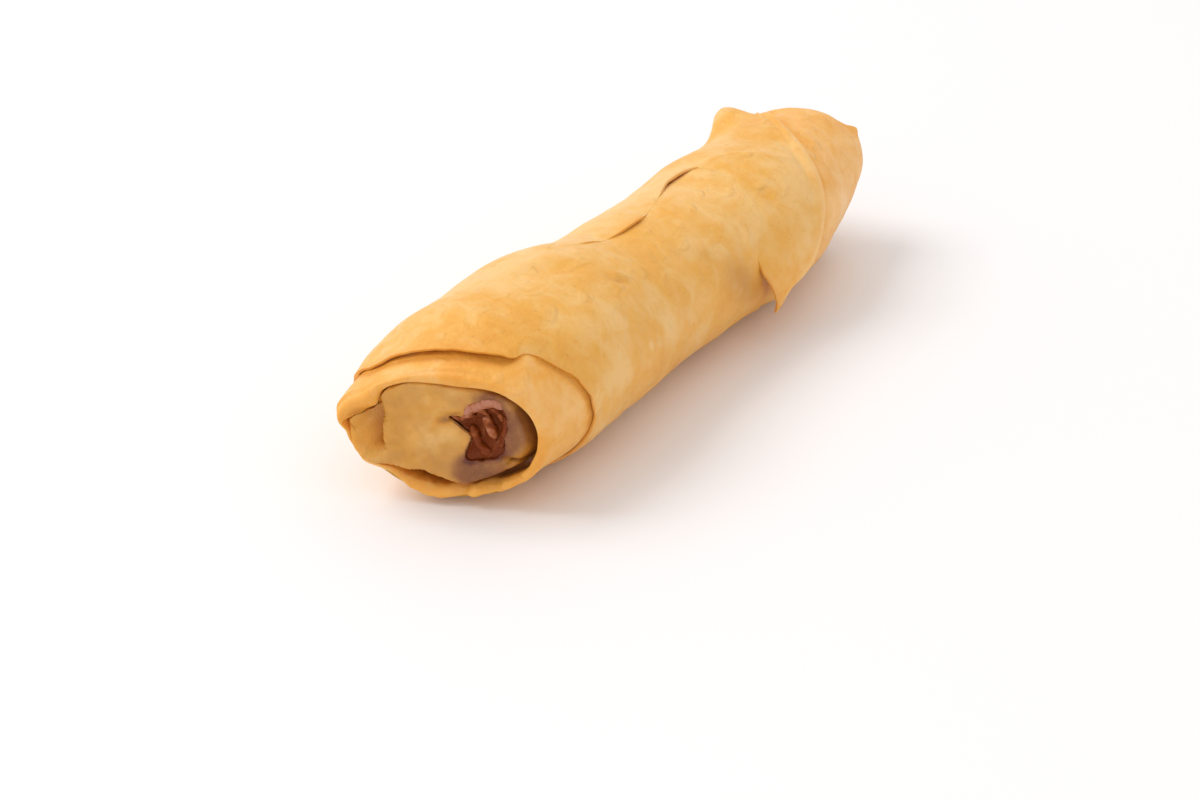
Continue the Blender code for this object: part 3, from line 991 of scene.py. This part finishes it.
# %% [markdown]
# ## The round of a lip
#
# A lip is half a circle whose diameter is the thickness of the skin there. Low on
# the near end the skin is ragged and opens outwards like a funnel, so its rings are
# pushed along the roll by soft bumps and, the further inside, the deeper.

# %% Rows of the two mouths
INSIDE = 9.0          # how far the lips turn in
INNER_ROWS = 10       # rows inside the near mouth
LIP_ROWS = 11         # rows round a lip
FAR_INNER_ROWS = 8    # rows inside the far mouth
FUNNEL = 0.8          # slope of the low lip
FUNNEL_ARC = (105, 140, 205, 225)     # angles: it begins, is full, begins to fade, is gone
RAGGED_ARC = (100, 140, 230, 280)
FRAYED_ARC = (120, 150, 215, 240)


def lip_rows(ring, angle, thickness):
    """Half circle, inside face first: inset t(1 + cos q)/2 and depth t(1 - sin q)/2 for q from 0 to pi."""
    q = np.linspace(0, np.pi, LIP_ROWS)[:, None]
    inset = thickness * (0.5 + 0.5 * np.cos(q))
    depth = thickness * 0.5 * (1 - np.sin(q))
    return ring(angle, depth, inset)


def near_mouth(angle):
    """Rows from inside the near mouth outwards, then round its lip."""
    outline = near_ring(angle, 0.0, 0.0)
    uneven = 0.9 * bumps(outline, 2.2, 31) * arc(*RAGGED_ARC, angle) + 0.12 * bumps(outline, 4.0, 33)
    frayed = 0.35 * bumps(outline, 1.4, 36) * arc(*FRAYED_ARC, angle)
    opening = FUNNEL * arc(*FUNNEL_ARC, angle)
    rim_lift = sleeve_lift(near_rim(angle) + RIM_BACK, angle)

    def ring(angle, depth, inset):
        """A ring of the mouth, deeper by its unevenness and by the slope times the inset."""
        return near_ring(angle, depth + uneven + opening * inset, inset - rim_lift - frayed)

    thickness = lip_thickness(angle)
    inner = ring(angle, np.linspace(INSIDE, 1.0, INNER_ROWS)[:, None], thickness)
    return [inner, lip_rows(ring, angle, thickness)]


def far_mouth(angle):
    """Rows round the far lip, then inside the far mouth inwards."""
    outline = near_ring(angle, 0.0, 0.0)
    uneven = 0.35 * bumps(outline, 2.6, 35)
    rim_lift = sleeve_lift(smooth_round(FAR_RIM, angle) - RIM_BACK, angle)
    thickness = FAR_LIP * (1 + 0.2 * bumps(outline, 3.0, 34))

    def ring(angle, depth, inset):
        """A ring of the mouth, deeper by its unevenness and as high as the sleeve it joins."""
        return far_ring(angle, depth + uneven, inset - rim_lift)

    inner = ring(angle, np.linspace(1.0, INSIDE, FAR_INNER_ROWS)[:, None], thickness)
    return [lip_rows(ring, angle, thickness)[::-1], inner]


print("the mouths have", INNER_ROWS + LIP_ROWS, "and", FAR_INNER_ROWS + LIP_ROWS, "rows")

# %% [markdown]
# ## From mouth to mouth
#
# Between the lips the tube follows the body. Its first rings are slanted like the
# near lip and turn square over a few millimetres. Under the last turn it sinks well
# clear, with few rows, because nothing of it shows there.

# %% The sleeve
SHOWN = 7             # rows are close together to this far under the last turn
SINK = (3, 9)         # between these distances under it the sleeve sinks
SUNK = 1.9            # by this much
SQUARE = 5.0          # its rings turn square over this length
OUTSIDE_ROWS = (48, 14, 66)   # rows near the near lip, hidden, and near the far lip
BORE_ROWS = 9         # rows of the way back through the roll
BORE_PAST = 2         # it begins and ends this far past the mouths' inner rows
SLEEVE_COLUMNS = 170


def sleeve_outside(angle):
    """Rows from lip to lip; x goes evenly within each of three spans."""
    near, far = smooth_round(NEAR_EDGE, angle), collar_edge(angle)
    start = near_rim(angle) + 0.5 * lip_thickness(angle) + 0.2
    stop = smooth_round(FAR_RIM, angle) - RIM_BACK
    ends = (start, near + SHOWN, far - SHOWN, stop)
    spans = zip(ends, ends[1:], OUTSIDE_ROWS)
    x = np.concatenate([a + (b - a) * np.linspace(0, 1, n, endpoint=False)[:, None] for a, b, n in spans])
    wide = np.broadcast_to(angle, x.shape)
    under = smooth_step(*SINK, x - near) * smooth_step(*SINK, far - x)
    points = skin(x, wide, sleeve_lift(x, wide) - SUNK * under)
    blend = (1 - smooth_step(0.0, SQUARE, x - start))[..., None]
    return points * (1 - blend) + behind_plane(points[..., 1:], x - near_rim(angle)) * blend


def sleeve_bore(angle):
    """Rows back through the roll, which close the tube."""
    first = near_rim(angle) + INSIDE + BORE_PAST
    last = smooth_round(FAR_RIM, angle) - INSIDE - BORE_PAST
    x = last + (first - last) * np.linspace(0, 1, BORE_ROWS)[:, None]
    return skin(x, np.broadcast_to(angle, x.shape), -WALL)


angle = np.linspace(0, 360, SLEEVE_COLUMNS, endpoint=False)[None, :]
points = np.concatenate([*near_mouth(angle), sleeve_outside(angle), *far_mouth(angle), sleeve_bore(angle)])
rows, columns = points.shape[:2]
faces = grid_faces(rows + 1, columns, True) % (rows * columns)
print("sleeve:", rows, "rows of", columns, "points")

# %% [markdown]
# ## Colour of the sleeve
#
# The inside of the mouth gets the most painted shade. The round of each lip is
# browner as a cut edge. The strips beside the other sheets' edges, past the collar
# and under the near edge of the last turn, get painted shadow, and a crease on the
# shoulder of the near lip gets painted shade. Rows number the tube, so a lip's
# nose is found by its row.

# %% Marks of the sleeve
LOW_ARC = (130, 155, 215, 235)          # where the near lip is low and counts as no cut edge
NEAR_LIP_EDGE = (0.5, 4.0, 0.4)         # cut edge of the near lip: (rows past its nose, half width, how much)
FAR_LIP_EDGE = (0.5, 5.0, 1.0)          # and of the far lip
LOW_LIP_BROWN = (0.0, 4.0, 0.1)         # the low lip is browner, in the same way
MOUTH_ROWS = (6, 11)                    # painted shade in the mouth is full up to the first row, and gone past the second
# how dark the painted shade inside the mouth is
MOUTH_SHADE = 1.3
COLLAR_SHADOW = (0.8, 2.2, 0.55)        # painted shadow past the collar: (distance, half width, how dark)
NEAR_EDGE_SHADOW = (-0.5, 1.0, 0.70)     # painted shadow under the near edge of the last turn: (distance, half width, how dark)
SHOULDER_SHADE = (-62, 11.0, 1.0)             # painted shade in a crease on the near lip's shoulder: (angle, half width, how dark)
SHOULDER_ROWS = (-2.2, 2.2)             # rows past the near lip's nose, and half width

near_nose = INNER_ROWS + LIP_ROWS // 2
far_nose = rows - BORE_ROWS - FAR_INNER_ROWS - LIP_ROWS + LIP_ROWS // 2
row = np.arange(rows)[:, None]
x = points[..., 0]
low = arc(*LOW_ARC, angle)
edge = strip(row - near_nose, NEAR_LIP_EDGE) * (1 - low) + strip(row - far_nose, FAR_LIP_EDGE)
paler, _ = patches(x, np.broadcast_to(angle, x.shape))
in_mouth = 1 - smooth_step(*MOUTH_ROWS, row)
# painted shade in the mouth and on the shoulder, painted shadow past the collar and under the near edge, and
# a browner low lip
tone = paler + 0.1 - MOUTH_SHADE * in_mouth - strip(row - near_nose, LOW_LIP_BROWN) * low
tone = tone - strip(x - collar_edge(angle), COLLAR_SHADOW)
tone = tone - strip(x - smooth_round(NEAR_EDGE, angle), NEAR_EDGE_SHADOW)
shoulder_row, shoulder_wide = SHOULDER_ROWS
tone = tone - strip(turned(angle), SHOULDER_SHADE) * bell(row - near_nose - shoulder_row, shoulder_wide)
piece = make_piece("sleeve", points, faces, {"edge": edge, "tone": tone, "damp": 0.0})
belongs(piece, "wrapper", pastry)

# %% [markdown]
# ## The tear in the near end
#
# The skin folded in over the near end is so thin that the filling stains it, and
# it has burst. Seen along the roll, the tear is a closed outline, so it is a curve
# of radius against direction, made a little ragged like every cut or torn edge.

# %% Outline of the tear
TEAR_AT = (-7.4, 12.3)            # (y, z) of its middle
TEAR = (                          # (direction, radius): 0 is up, 90 towards -Y
    (-118, 1.8), (-92, 1.6), (-79, 2.3), (-69, 3.4), (-60, 5.1), (-53, 4.7), (-45, 3.9), (-36, 3.5),
    (-28, 3.5), (-8, 4.7), (12, 6.0), (36, 5.2), (60, 3.9), (94, 3.2), (137, 3.7), (183, 4.0),
    (208, 4.4), (228, 2.4),
)
TORN = 0.8                        # its raggedness is a cut edge's, times this


def tear_point(direction, grow):
    """(y, z) of the ragged outline of the tear in this direction, scaled about its middle."""
    radius = (smooth_round(TEAR, direction) + edge_wobble(direction, 41) * TORN) * grow
    turn = np.radians(direction)
    return np.stack([TEAR_AT[0] - radius * np.sin(turn), TEAR_AT[1] + radius * np.cos(turn)], axis=-1)


tear_size = np.ptp(tear_point(np.arange(360.0), 1.0), axis=0)
print("the tear is", np.round(tear_size, 1).tolist(), "mm wide and high")

# %% [markdown]
# ## The torn tuck at the near end
#
# It is a sheet with a hole: rings of points shrink from the lip's inside to the
# outline of the tear. Its rim turns back into the mouth by a different depth all
# round: some on top, most at the -Y side and underneath, and hardly any low on the
# +Y side.

# %% Rings of the near tuck
TUCK_PLANE = 0.75                 # the tuck lies this far behind the lip's plane
TUCK_INSET = (                    # (angle, how far inside the outline its own outline lies)
    (-100, 0.4), (-84, 0.35), (-77, 0.4), (-69, 2.0), (-62, 3.0), (-54, 2.9), (-46, 2.3), (-38, 1.5),
    (-30, 1.0), (-18, 0.9), (-8, 1.2), (4, 1.8), (14, 2.1), (26, 1.8), (40, 1.35), (60, 1.2), (100, 1.3),
    (135, 1.4), (150, 1.6), (165, 1.6), (180, 1.3), (194, 1.0), (204, 0.7), (214, 0.5), (225, 0.5),
)
TUCK_DEPTH = (                    # (angle, how deep its outline goes behind the tuck)
    (-125, 0.05), (-105, 0.05), (-88, 0.25), (-78, 1.2), (-70, 2.2), (-60, 3.0), (-42, 2.4), (-20, 1.4),
    (30, 1.4), (48, 2.0), (58, 4.2), (95, 4.4), (102, 3.8), (112, 3.4), (135, 3.4), (150, 2.8),
    (160, 2.0), (166, 2.4), (173, 3.6), (181, 4.4), (202, 4.4), (214, 2.4), (228, 0.4),
)
TUCK_REACH = (                    # (angle, over what width)
    (-125, 0.8), (-88, 0.8), (-42, 0.9), (-20, 0.9), (30, 1.0), (48, 1.2), (58, 2.1), (80, 2.6), (95, 2.2),
    (102, 1.9), (112, 2.0), (135, 2.0), (150, 1.7), (160, 1.1), (167, 1.4), (176, 2.5), (185, 3.3),
    (200, 3.3), (210, 2.0), (228, 0.9),
)
TUCK_SHARE = (0.55, 0.92)         # full depth within the first share of that width, none past the second
TUCK_ROWS = 46
TUCK_COLUMNS = 180


def tuck_unevenness(across):
    """Soft folds of the tuck at these (y, z), in millimetres."""
    place = np.concatenate([across, 0 * across[..., :1]], axis=-1)
    return 0.32 * bumps(place, 4.5, 42) + 0.18 * bumps(place, 1.8, 43)


def tuck_rings(angle):
    """(y, z) of rings from the tear to the lip, and how far each point is from both, in millimetres."""
    outer = near_ring(angle, 0.0, smooth_round(TUCK_INSET, angle))[..., 1:]
    reach = outer - np.array(TEAR_AT)
    inner = tear_point(np.degrees(np.arctan2(-reach[..., 0], reach[..., 1])), 1.0)
    t = (0.5 - 0.5 * np.cos(np.linspace(0, np.pi, TUCK_ROWS)))[:, None]
    width = np.hypot(*np.moveaxis(outer - inner, -1, 0))
    return inner + (outer - inner) * t[..., None], width * t, width * (1 - t)


def turned_in(angle, from_lip):
    """How much deeper the rim of the tuck is: its depth at this angle times an S-curve of the distance."""
    reach = smooth_round(TUCK_REACH, angle)
    full, level = TUCK_SHARE
    return smooth_round(TUCK_DEPTH, angle) * (1 - smooth_step(full * reach, level * reach, from_lip))


angle = np.linspace(0, 360, TUCK_COLUMNS, endpoint=False)[None, :]
across, from_tear, from_lip = tuck_rings(angle)
rim = turned_in(angle, from_lip)
print("skin between tear and lip:", np.round([from_lip[0].min(), from_lip[0].max()], 1).tolist(), "mm")

# %% [markdown]
# ## Folds and hollows of the near tuck
#
# Three things break up the tuck. A fold of skin lies low beside the tear, drawn as
# two straight lines. High at +Y the tuck is sunk, so a dark hollow opens there. And
# where the lip is thin, low on that side, the tuck meets it level.

# %% Depth of the near tuck
FOLD = ((-13.4, 9.2), (-12.2, 8.4), (-10.6, 8.4))    # (y, z) corners of the fold
FOLD_SIZE = (0.8, 1.8)            # its half width and depth
FLUSH = ((-150, 0.0), (-128, 1.0), (-86, 1.0), (-74, 0.0), (150, 0.0))   # (angle, how level it meets the lip)
FLUSH_SHARE = 0.9                 # level means this share of the tuck's plane is taken off
FLUSH_REACH = 3.0                 # within this distance of the lip
RECESS = (5.9, 7.0, 2.2)          # beside the tuck at +Y it is open: from y, to y, and how deep
RECESS_FLOOR = (6.8, 9.2)         # it starts above this z
RECESS_RISE = (8.0, 12.5)         # and its floor rises again between these y
RISE_SLANT = (0.5, 13)            # further out higher up: slope, and the z where those y hold
TEAR_CURL = (0.2, 0.8)            # the torn edge curls out by this, over this distance


def from_segment(places, first, last):
    """Distance of each (y, z) place to the straight line from first to last."""
    run = np.subtract(last, first)
    along = np.clip((places - first) @ run / (run @ run), 0, 1)
    return np.linalg.norm(places - first - along[..., None] * run, axis=-1)


def low_fold(across):
    """1 along the fold, falling off as a bell of the distance to the nearer of its two lines."""
    nearer = np.minimum(from_segment(across, *FOLD[:2]), from_segment(across, *FOLD[1:]))
    return bell(nearer, FOLD_SIZE[0])


def open_corner(across):
    """1 where the corner at +Y is open, an S-curve of y times one of z, and how deep its floor is."""
    y, z = np.moveaxis(across, -1, 0)
    start, stop, deep = RECESS
    slope, level = RISE_SLANT
    beside = smooth_step(start, stop, y + 0.5 * tuck_unevenness(across)) * smooth_step(*RECESS_FLOOR, z)
    return beside, deep * beside * (1 - 0.8 * smooth_step(*RECESS_RISE, y - slope * (z - level)))


fold = low_fold(across)
beside, floor_depth = open_corner(across)
curl, curl_reach = TEAR_CURL
level = 1 - FLUSH_SHARE * smooth_round(FLUSH, angle) * (1 - smooth_step(0, FLUSH_REACH, from_lip))
depth = TUCK_PLANE * level + rim + floor_depth * smooth_step(0, 1.0, from_lip)
depth = depth + tuck_unevenness(across) * (1 + 0.6 * beside) - curl * np.exp(-from_tear / curl_reach)
points = behind_plane(across, depth + FOLD_SIZE[1] * fold)
print("near tuck: from", round(depth.min(), 1), "to", round(depth.max(), 1), "mm behind the lip's plane")

# %% [markdown]
# ## Stains of the near tuck
#
# The filling has bled through the skin in soft blots, most of all round the tear,
# and more on the -Y side of it. The fold and the hollow are dry and get painted
# shade instead, and so do the rim in the mouth and a short crease that runs out
# of the tear.

# %% The near tuck
STAINS = (        # (y, z, half width, half height, strength)
    (-11.9, 13.8, 2.0, 4.6, 0.80), (-7.4, 6.0, 5.2, 2.2, 1.15), (-5.4, 8.0, 1.5, 0.8, 0.7),
    (-9.4, 9.6, 1.8, 1.0, 0.95), (-8.6, 18.6, 3.4, 1.0, 0.50), (0.0, 8.5, 2.4, 1.6, 0.10),
    (-4.0, 17.4, 2.0, 1.0, 0.20), (4.0, 13.0, 2.0, 4.0, 0.12),
)
SKIN_DAMP = 0.36                  # the whole tuck is this damp
TEAR_DAMP = (0.6, 0.35, 0.4)      # round the tear: over what distance, how much, and how much more at -Y
MORE_DAMP = (-9.0, 1.0)           # the more is full before the first y and gone past the second
RIM_SHADE = 1.6                   # how dark the painted shade is on the rim where it turns into the mouth
RIM_DEEP = (0.5, 2.4)             # from this deep to this deep
# how dark the painted shade is in the fold, in the crease and in the hollow at +Y
FOLD_SHADE = 3.0
CREASE_SHADE = 3.0
CORNER_SHADE = 0.9
CREASE_AT = (-3.0, 14.9)          # (y, z) of the crease with painted shade
CREASE_SIZE = (1.5, 0.75, 0.4)    # its half length, half width and slope
TUCK_SHEET = 0.35                 # one sheet of a tuck, thinner than the outer sheets


def stain(y, z):
    """Sum of soft blots: strength times a bell across times a bell up."""
    return sum(
        strength * bell(y - middle_y, wide) * bell(z - middle_z, high)
        for middle_y, middle_z, wide, high, strength in STAINS
    )


def short_crease(y, z):
    """1 on the crease with painted shade: a bell along it times a bell square to its slope."""
    half_length, half_width, slope = CREASE_SIZE
    along = y - CREASE_AT[0]
    return bell(along, half_length) * bell(z - CREASE_AT[1] + slope * along, half_width)


y, z = np.moveaxis(across, -1, 0)
creased = short_crease(y, z)
blotch = 0.16 * bumps(points, 2.4, 44) + 0.10 * bumps(points, 0.9, 45)
over, some, more = TEAR_DAMP
round_tear = np.exp(-from_tear / over) * (some + more * (1 - smooth_step(*MORE_DAMP, y)))
damp = SKIN_DAMP + blotch + stain(y, z) + round_tear
damp = damp * (1 - beside) * (1 - 0.9 * fold) * (1 - 0.8 * creased)
# tone: random unevenness, less painted shade on the rim in the mouth, in the fold, in the crease and in the
# hollow
tone = 0.3 * bumps(points, 3.1, 46) - RIM_SHADE * smooth_step(*RIM_DEEP, rim) - FOLD_SHADE * fold
tone = tone - CREASE_SHADE * creased - CORNER_SHADE * beside * (1 - 0.7 * smooth_step(7.5, 10.5, y))
marks = {"edge": bell(from_tear, 0.5), "tone": tone, "damp": damp}
piece = make_piece("near_tuck", points, grid_faces(*points.shape[:2], True)[:, ::-1], marks)
belongs(thicken(piece, TUCK_SHEET), "wrapper", pastry)

# %% [markdown]
# ## The far tuck
#
# The far end is closed the same way and has not burst: the skin is gathered in
# soft pleats towards the middle. A sine round the end gives the pleats, and its
# phase turns with the distance inwards, so that they twist as gathered skin does.

# %% The far tuck
PLEATS = 7
PLEAT_HEIGHT = 0.55
PLEAT_TWIST = 2.5           # radians of phase from the rim to the middle
FAR_TUCK_PLANE = 1.2        # it lies this deep behind the far lip
FAR_TUCK_RIM = (0.16, 2.6)  # its rim turns in over this share of the way, by this much more
FAR_TUCK_DIP = (0.0, 0.2, 0.6)   # it dips in the middle: (share of the way, half width, by how much)
FAR_TUCK_ROWS = 34
FAR_TUCK_COLUMNS = 140
FAR_TUCK_START = 0.02       # share of the rim's size that the smallest ring has


def pleated_tuck():
    """Rings from the middle out to the far lip; the depth has a wave of pleats, a turned rim and a dip."""
    angle = np.linspace(0, 360, FAR_TUCK_COLUMNS, endpoint=False)[None, :]
    t = np.linspace(FAR_TUCK_START, 1, FAR_TUCK_ROWS)[:, None]
    outer = far_ring(angle, 0.0, 1.0)
    middle = outer.mean(axis=1, keepdims=True)
    points = middle + (outer - middle) * t[..., None]
    wave = np.sin(np.radians(angle) * PLEATS + PLEAT_TWIST * (1 - t))
    fold = PLEAT_HEIGHT * wave * np.sin(np.pi * t) ** 0.8 * smooth_step(FAR_TUCK_START, 0.35, t)
    soft = 0.35 * bumps(points, 4.0, 51) + 0.12 * bumps(points, 1.5, 52)
    rim = FAR_TUCK_RIM[1] * (1 - smooth_step(0, FAR_TUCK_RIM[0], 1 - t))
    points[..., 0] -= FAR_TUCK_PLANE + rim + strip(t, FAR_TUCK_DIP) + fold + soft
    return points


points = pleated_tuck()
rows, columns = points.shape[:2]
faces = np.concatenate([cap_faces(0, columns), grid_faces(rows, columns, True)])
piece = make_piece("far_tuck", points, faces, {"edge": 0.0, "tone": 0.0, "damp": 0.0})
belongs(thicken(piece, TUCK_SHEET), "wrapper", pastry)

# %% [markdown]
# ## The filling
#
# The filling runs through the whole roll, and shows only in the tear, where a
# knob of it swells out. It is rings again: some on the knob, which are the tear's
# own outline made larger or smaller, then the core, then the closing far end.

# %% The filling core
CORE_COLUMNS = 120
CORE_ROWS = 60
CORE_FROM = 6           # the core begins this far inside the near lip
FAR_DEPTH = 11.5        # and ends this far inside the far lip, well behind its tuck
CORE_GAP = 0.5          # it is clear of the wrapper's inside by this
CORE_END = (2.0, 4.0)   # its far end closes in rings: the first this far in, the next by this each
KNOB = (                # (share of the tear's outline, depth behind the tuck)
    (0.02, 0.40), (0.6, 0.30), (0.9, 0.02), (1.02, -0.05), (1.10, 0.20), (1.25, 1.4), (1.35, 4.0),
)
KNOB_STEPS = 6          # rings between two stations of the knob


def core_knob(angle):
    """The tear's outline scaled by each share, this deep behind the tuck."""
    pairs = zip(KNOB, KNOB[1:])
    grow = np.concatenate([np.linspace(a[0], b[0], KNOB_STEPS, endpoint=False) for a, b in pairs])
    across = tear_point(np.broadcast_to(angle, (len(grow), CORE_COLUMNS)), grow[:, None])
    return behind_plane(across, TUCK_PLANE + tuck_unevenness(across) + smooth_through(KNOB, grow)[:, None])


def filling_core():
    """Rings of the knob, then of the core, then of its far end, each roughened by lumps."""
    angle = np.linspace(0, 360, CORE_COLUMNS, endpoint=False)[None, :]
    first = near_rim(angle) + CORE_FROM
    last = smooth_round(FAR_RIM, angle) - FAR_DEPTH
    x = first + (last - first) * np.linspace(0, 1, CORE_ROWS)[:, None]
    core = skin(x, np.broadcast_to(angle, x.shape), -WALL - CORE_GAP)
    start, step = CORE_END
    ends = [far_ring(angle, FAR_DEPTH, WALL + start + step * i) for i in range(3)]
    points = np.concatenate([core_knob(angle), core, *ends])
    lumps = 0.34 * bumps(points, 1.9, 61) + 0.20 * bumps(points, 0.8, 62)
    points[..., 0] += lumps + 0.1
    return points, 0.35 - lumps


points, raised = filling_core()
rows, columns = points.shape[:2]
near_cap = cap_faces(0, columns)
far_cap = cap_faces((rows - 1) * columns, columns)[:, ::-1]
faces = np.concatenate([near_cap, grid_faces(rows, columns, True), far_cap])
piece = make_piece("filling_core", points, faces, {"raised": raised})
belongs(piece, "filling", fruit)

# %% [markdown]
# ## Strands of the filling
#
# In the tear the filling is not smooth: soft strands of it lie across the hole,
# rosy where they stand up and nearly black between, partly painted highlight and
# painted shade. Each is a tube along a short path that lies in the tear, thickest
# in the middle and closed at both ends.

# %% Strands
STRANDS = (       # (its (y, z, depth) stations, radius, how rosy)
    (((-4.9, 15.1, 0.3), (-5.6, 16.1, 0.0), (-6.6, 17.1, -0.1), (-7.8, 17.5, 0.3)), 0.70, 0.85),
    (((-6.7, 16.6, 0.3), (-7.8, 17.5, 0.0), (-9.1, 17.7, 0.0), (-10.1, 16.8, 0.4)), 0.70, 0.80),
    (((-5.6, 15.6, 0.4), (-6.5, 16.4, 0.1), (-7.3, 16.2, 0.2), (-7.9, 15.2, 0.6)), 0.50, 0.65),
    (((-8.2, 16.6, 0.3), (-9.0, 16.4, 0.2), (-9.6, 15.6, 0.3), (-9.9, 14.6, 0.6)), 0.45, 0.55),
    (((-2.9, 15.0, 0.25), (-4.2, 14.8, 0.05), (-5.4, 15.3, 0.1), (-6.4, 15.1, 0.4)), 0.45, 0.45),
    (((-7.4, 15.3, 0.5), (-8.1, 14.4, 0.15), (-8.7, 13.1, 0.1), (-8.7, 11.7, 0.5)), 0.75, 0.55),
    (((-10.2, 15.6, 0.4), (-10.4, 13.8, 0.2), (-10.2, 12.0, 0.2), (-9.6, 10.4, 0.4)), 0.60, 0.15),
    (((-5.6, 13.6, 0.4), (-6.2, 12.0, 0.25), (-6.8, 10.4, 0.2), (-8.4, 9.5, 0.3)), 0.65, 0.10),
)
STRAND_ROWS = 36
STRAND_COLUMNS = 20
LUMPY = 0.25      # lumps change a strand's radius by about this share
OUTWARD = np.array((-1.0, -RIM_SLANT, 0.0)) / np.hypot(1.0, RIM_SLANT)   # square to the near lip's plane


def strand(stations, radius, seed):
    """Rings square to the path, of radius times sqrt(1 - (2t - 1)^4), and how rosy each point is: its lumps,
    plus painted highlight on the side that faces out of the mouth.
    """
    stations = np.array(stations)
    t = np.linspace(0.01, 0.99, STRAND_ROWS)
    at = np.linspace(0, 1, len(stations))
    y, z, depth = (smooth_through(np.stack([at, column], axis=-1), t) for column in stations.T)
    middle = behind_plane(np.stack([y, z], axis=-1), TUCK_PLANE + depth)
    along = np.gradient(middle, axis=0)
    along /= np.linalg.norm(along, axis=-1, keepdims=True)
    side = np.cross(along, OUTWARD)
    up = np.cross(side, along)
    turn = np.linspace(0, 2 * np.pi, STRAND_COLUMNS, endpoint=False)[None, :, None]
    ray = np.cos(turn) * side[:, None] - np.sin(turn) * up[:, None]
    thick = radius * np.sqrt(1 - (2 * t - 1) ** 4)[:, None, None]
    tube = middle[:, None] + ray * thick
    lumps = bumps(tube, 0.9, seed) + 0.5 * bumps(tube, 0.4, seed + 10)
    # rosier on lumps, and painted highlight on the side that faces out of the mouth
    stands_out = 0.4 * lumps + 0.35 * (ray @ OUTWARD - 0.6)
    return middle[:, None] + ray * thick * (1 + LUMPY * lumps[..., None]), stands_out


tubes, stands = zip(*(strand(path, radius, 71 + i) for i, (path, radius, rosy) in enumerate(STRANDS)))
points = np.stack(tubes)
raised = np.stack(stands) + np.array([rosy for path, radius, rosy in STRANDS])[:, None, None]
size = STRAND_ROWS * STRAND_COLUMNS
far_cap = cap_faces(size - STRAND_COLUMNS, STRAND_COLUMNS)[:, ::-1]
one = np.concatenate([cap_faces(0, STRAND_COLUMNS), grid_faces(STRAND_ROWS, STRAND_COLUMNS, True), far_cap])
faces = np.concatenate([one + i * size for i in range(len(STRANDS))])
piece = make_piece("filling_strands", points, faces, {"raised": raised})
belongs(piece, "filling", fruit)

# %% [markdown]
# ## Floor and light
#
# A plain pale floor, a large soft light high on the +Y side, and a pale sky that
# fills the shadows.

# %% Floor
FLOOR_SIZE = 6.0
FLOOR_COLOR = (0.90, 0.885, 0.885)

half = FLOOR_SIZE / 2
floor_mesh = bpy.data.meshes.new("floor")
corners = [(-half, -half, 0), (half, -half, 0), (half, half, 0), (-half, half, 0)]
floor_mesh.from_pydata(corners, [], [(0, 1, 2, 3)])
floor = bpy.data.objects.new("floor", floor_mesh)
bpy.context.scene.collection.objects.link(floor)
floor_finish = Finish("pale_floor", {"Base Color": FLOOR_COLOR, "Roughness": 0.6})
floor_mesh.materials.append(floor_finish.material)
print("floor:", FLOOR_SIZE, "m square")

# %% Light
KEY_FROM = (-0.35, 0.95, 1.25)
KEY_SIZE = 0.9
KEY_POWER = 12.0
SKY = (1.0, 0.985, 0.98)
SKY_STRENGTH = 0.84

key_data = bpy.data.lights.new("key", "AREA")
key_data.shape = "SQUARE"
key_data.size = KEY_SIZE
key_data.energy = KEY_POWER
aimed("key", key_data, KEY_FROM, (0, 0, 0))
world = bpy.data.worlds.new("pale_sky")
world.use_nodes = True
sky = world.node_tree.nodes["Background"]
sky.inputs["Color"].default_value = (*SKY, 1.0)
sky.inputs["Strength"].default_value = SKY_STRENGTH
bpy.context.scene.world = world
bpy.context.scene.view_settings.view_transform = "Standard"
print("light:", KEY_POWER, "W from", KEY_FROM)
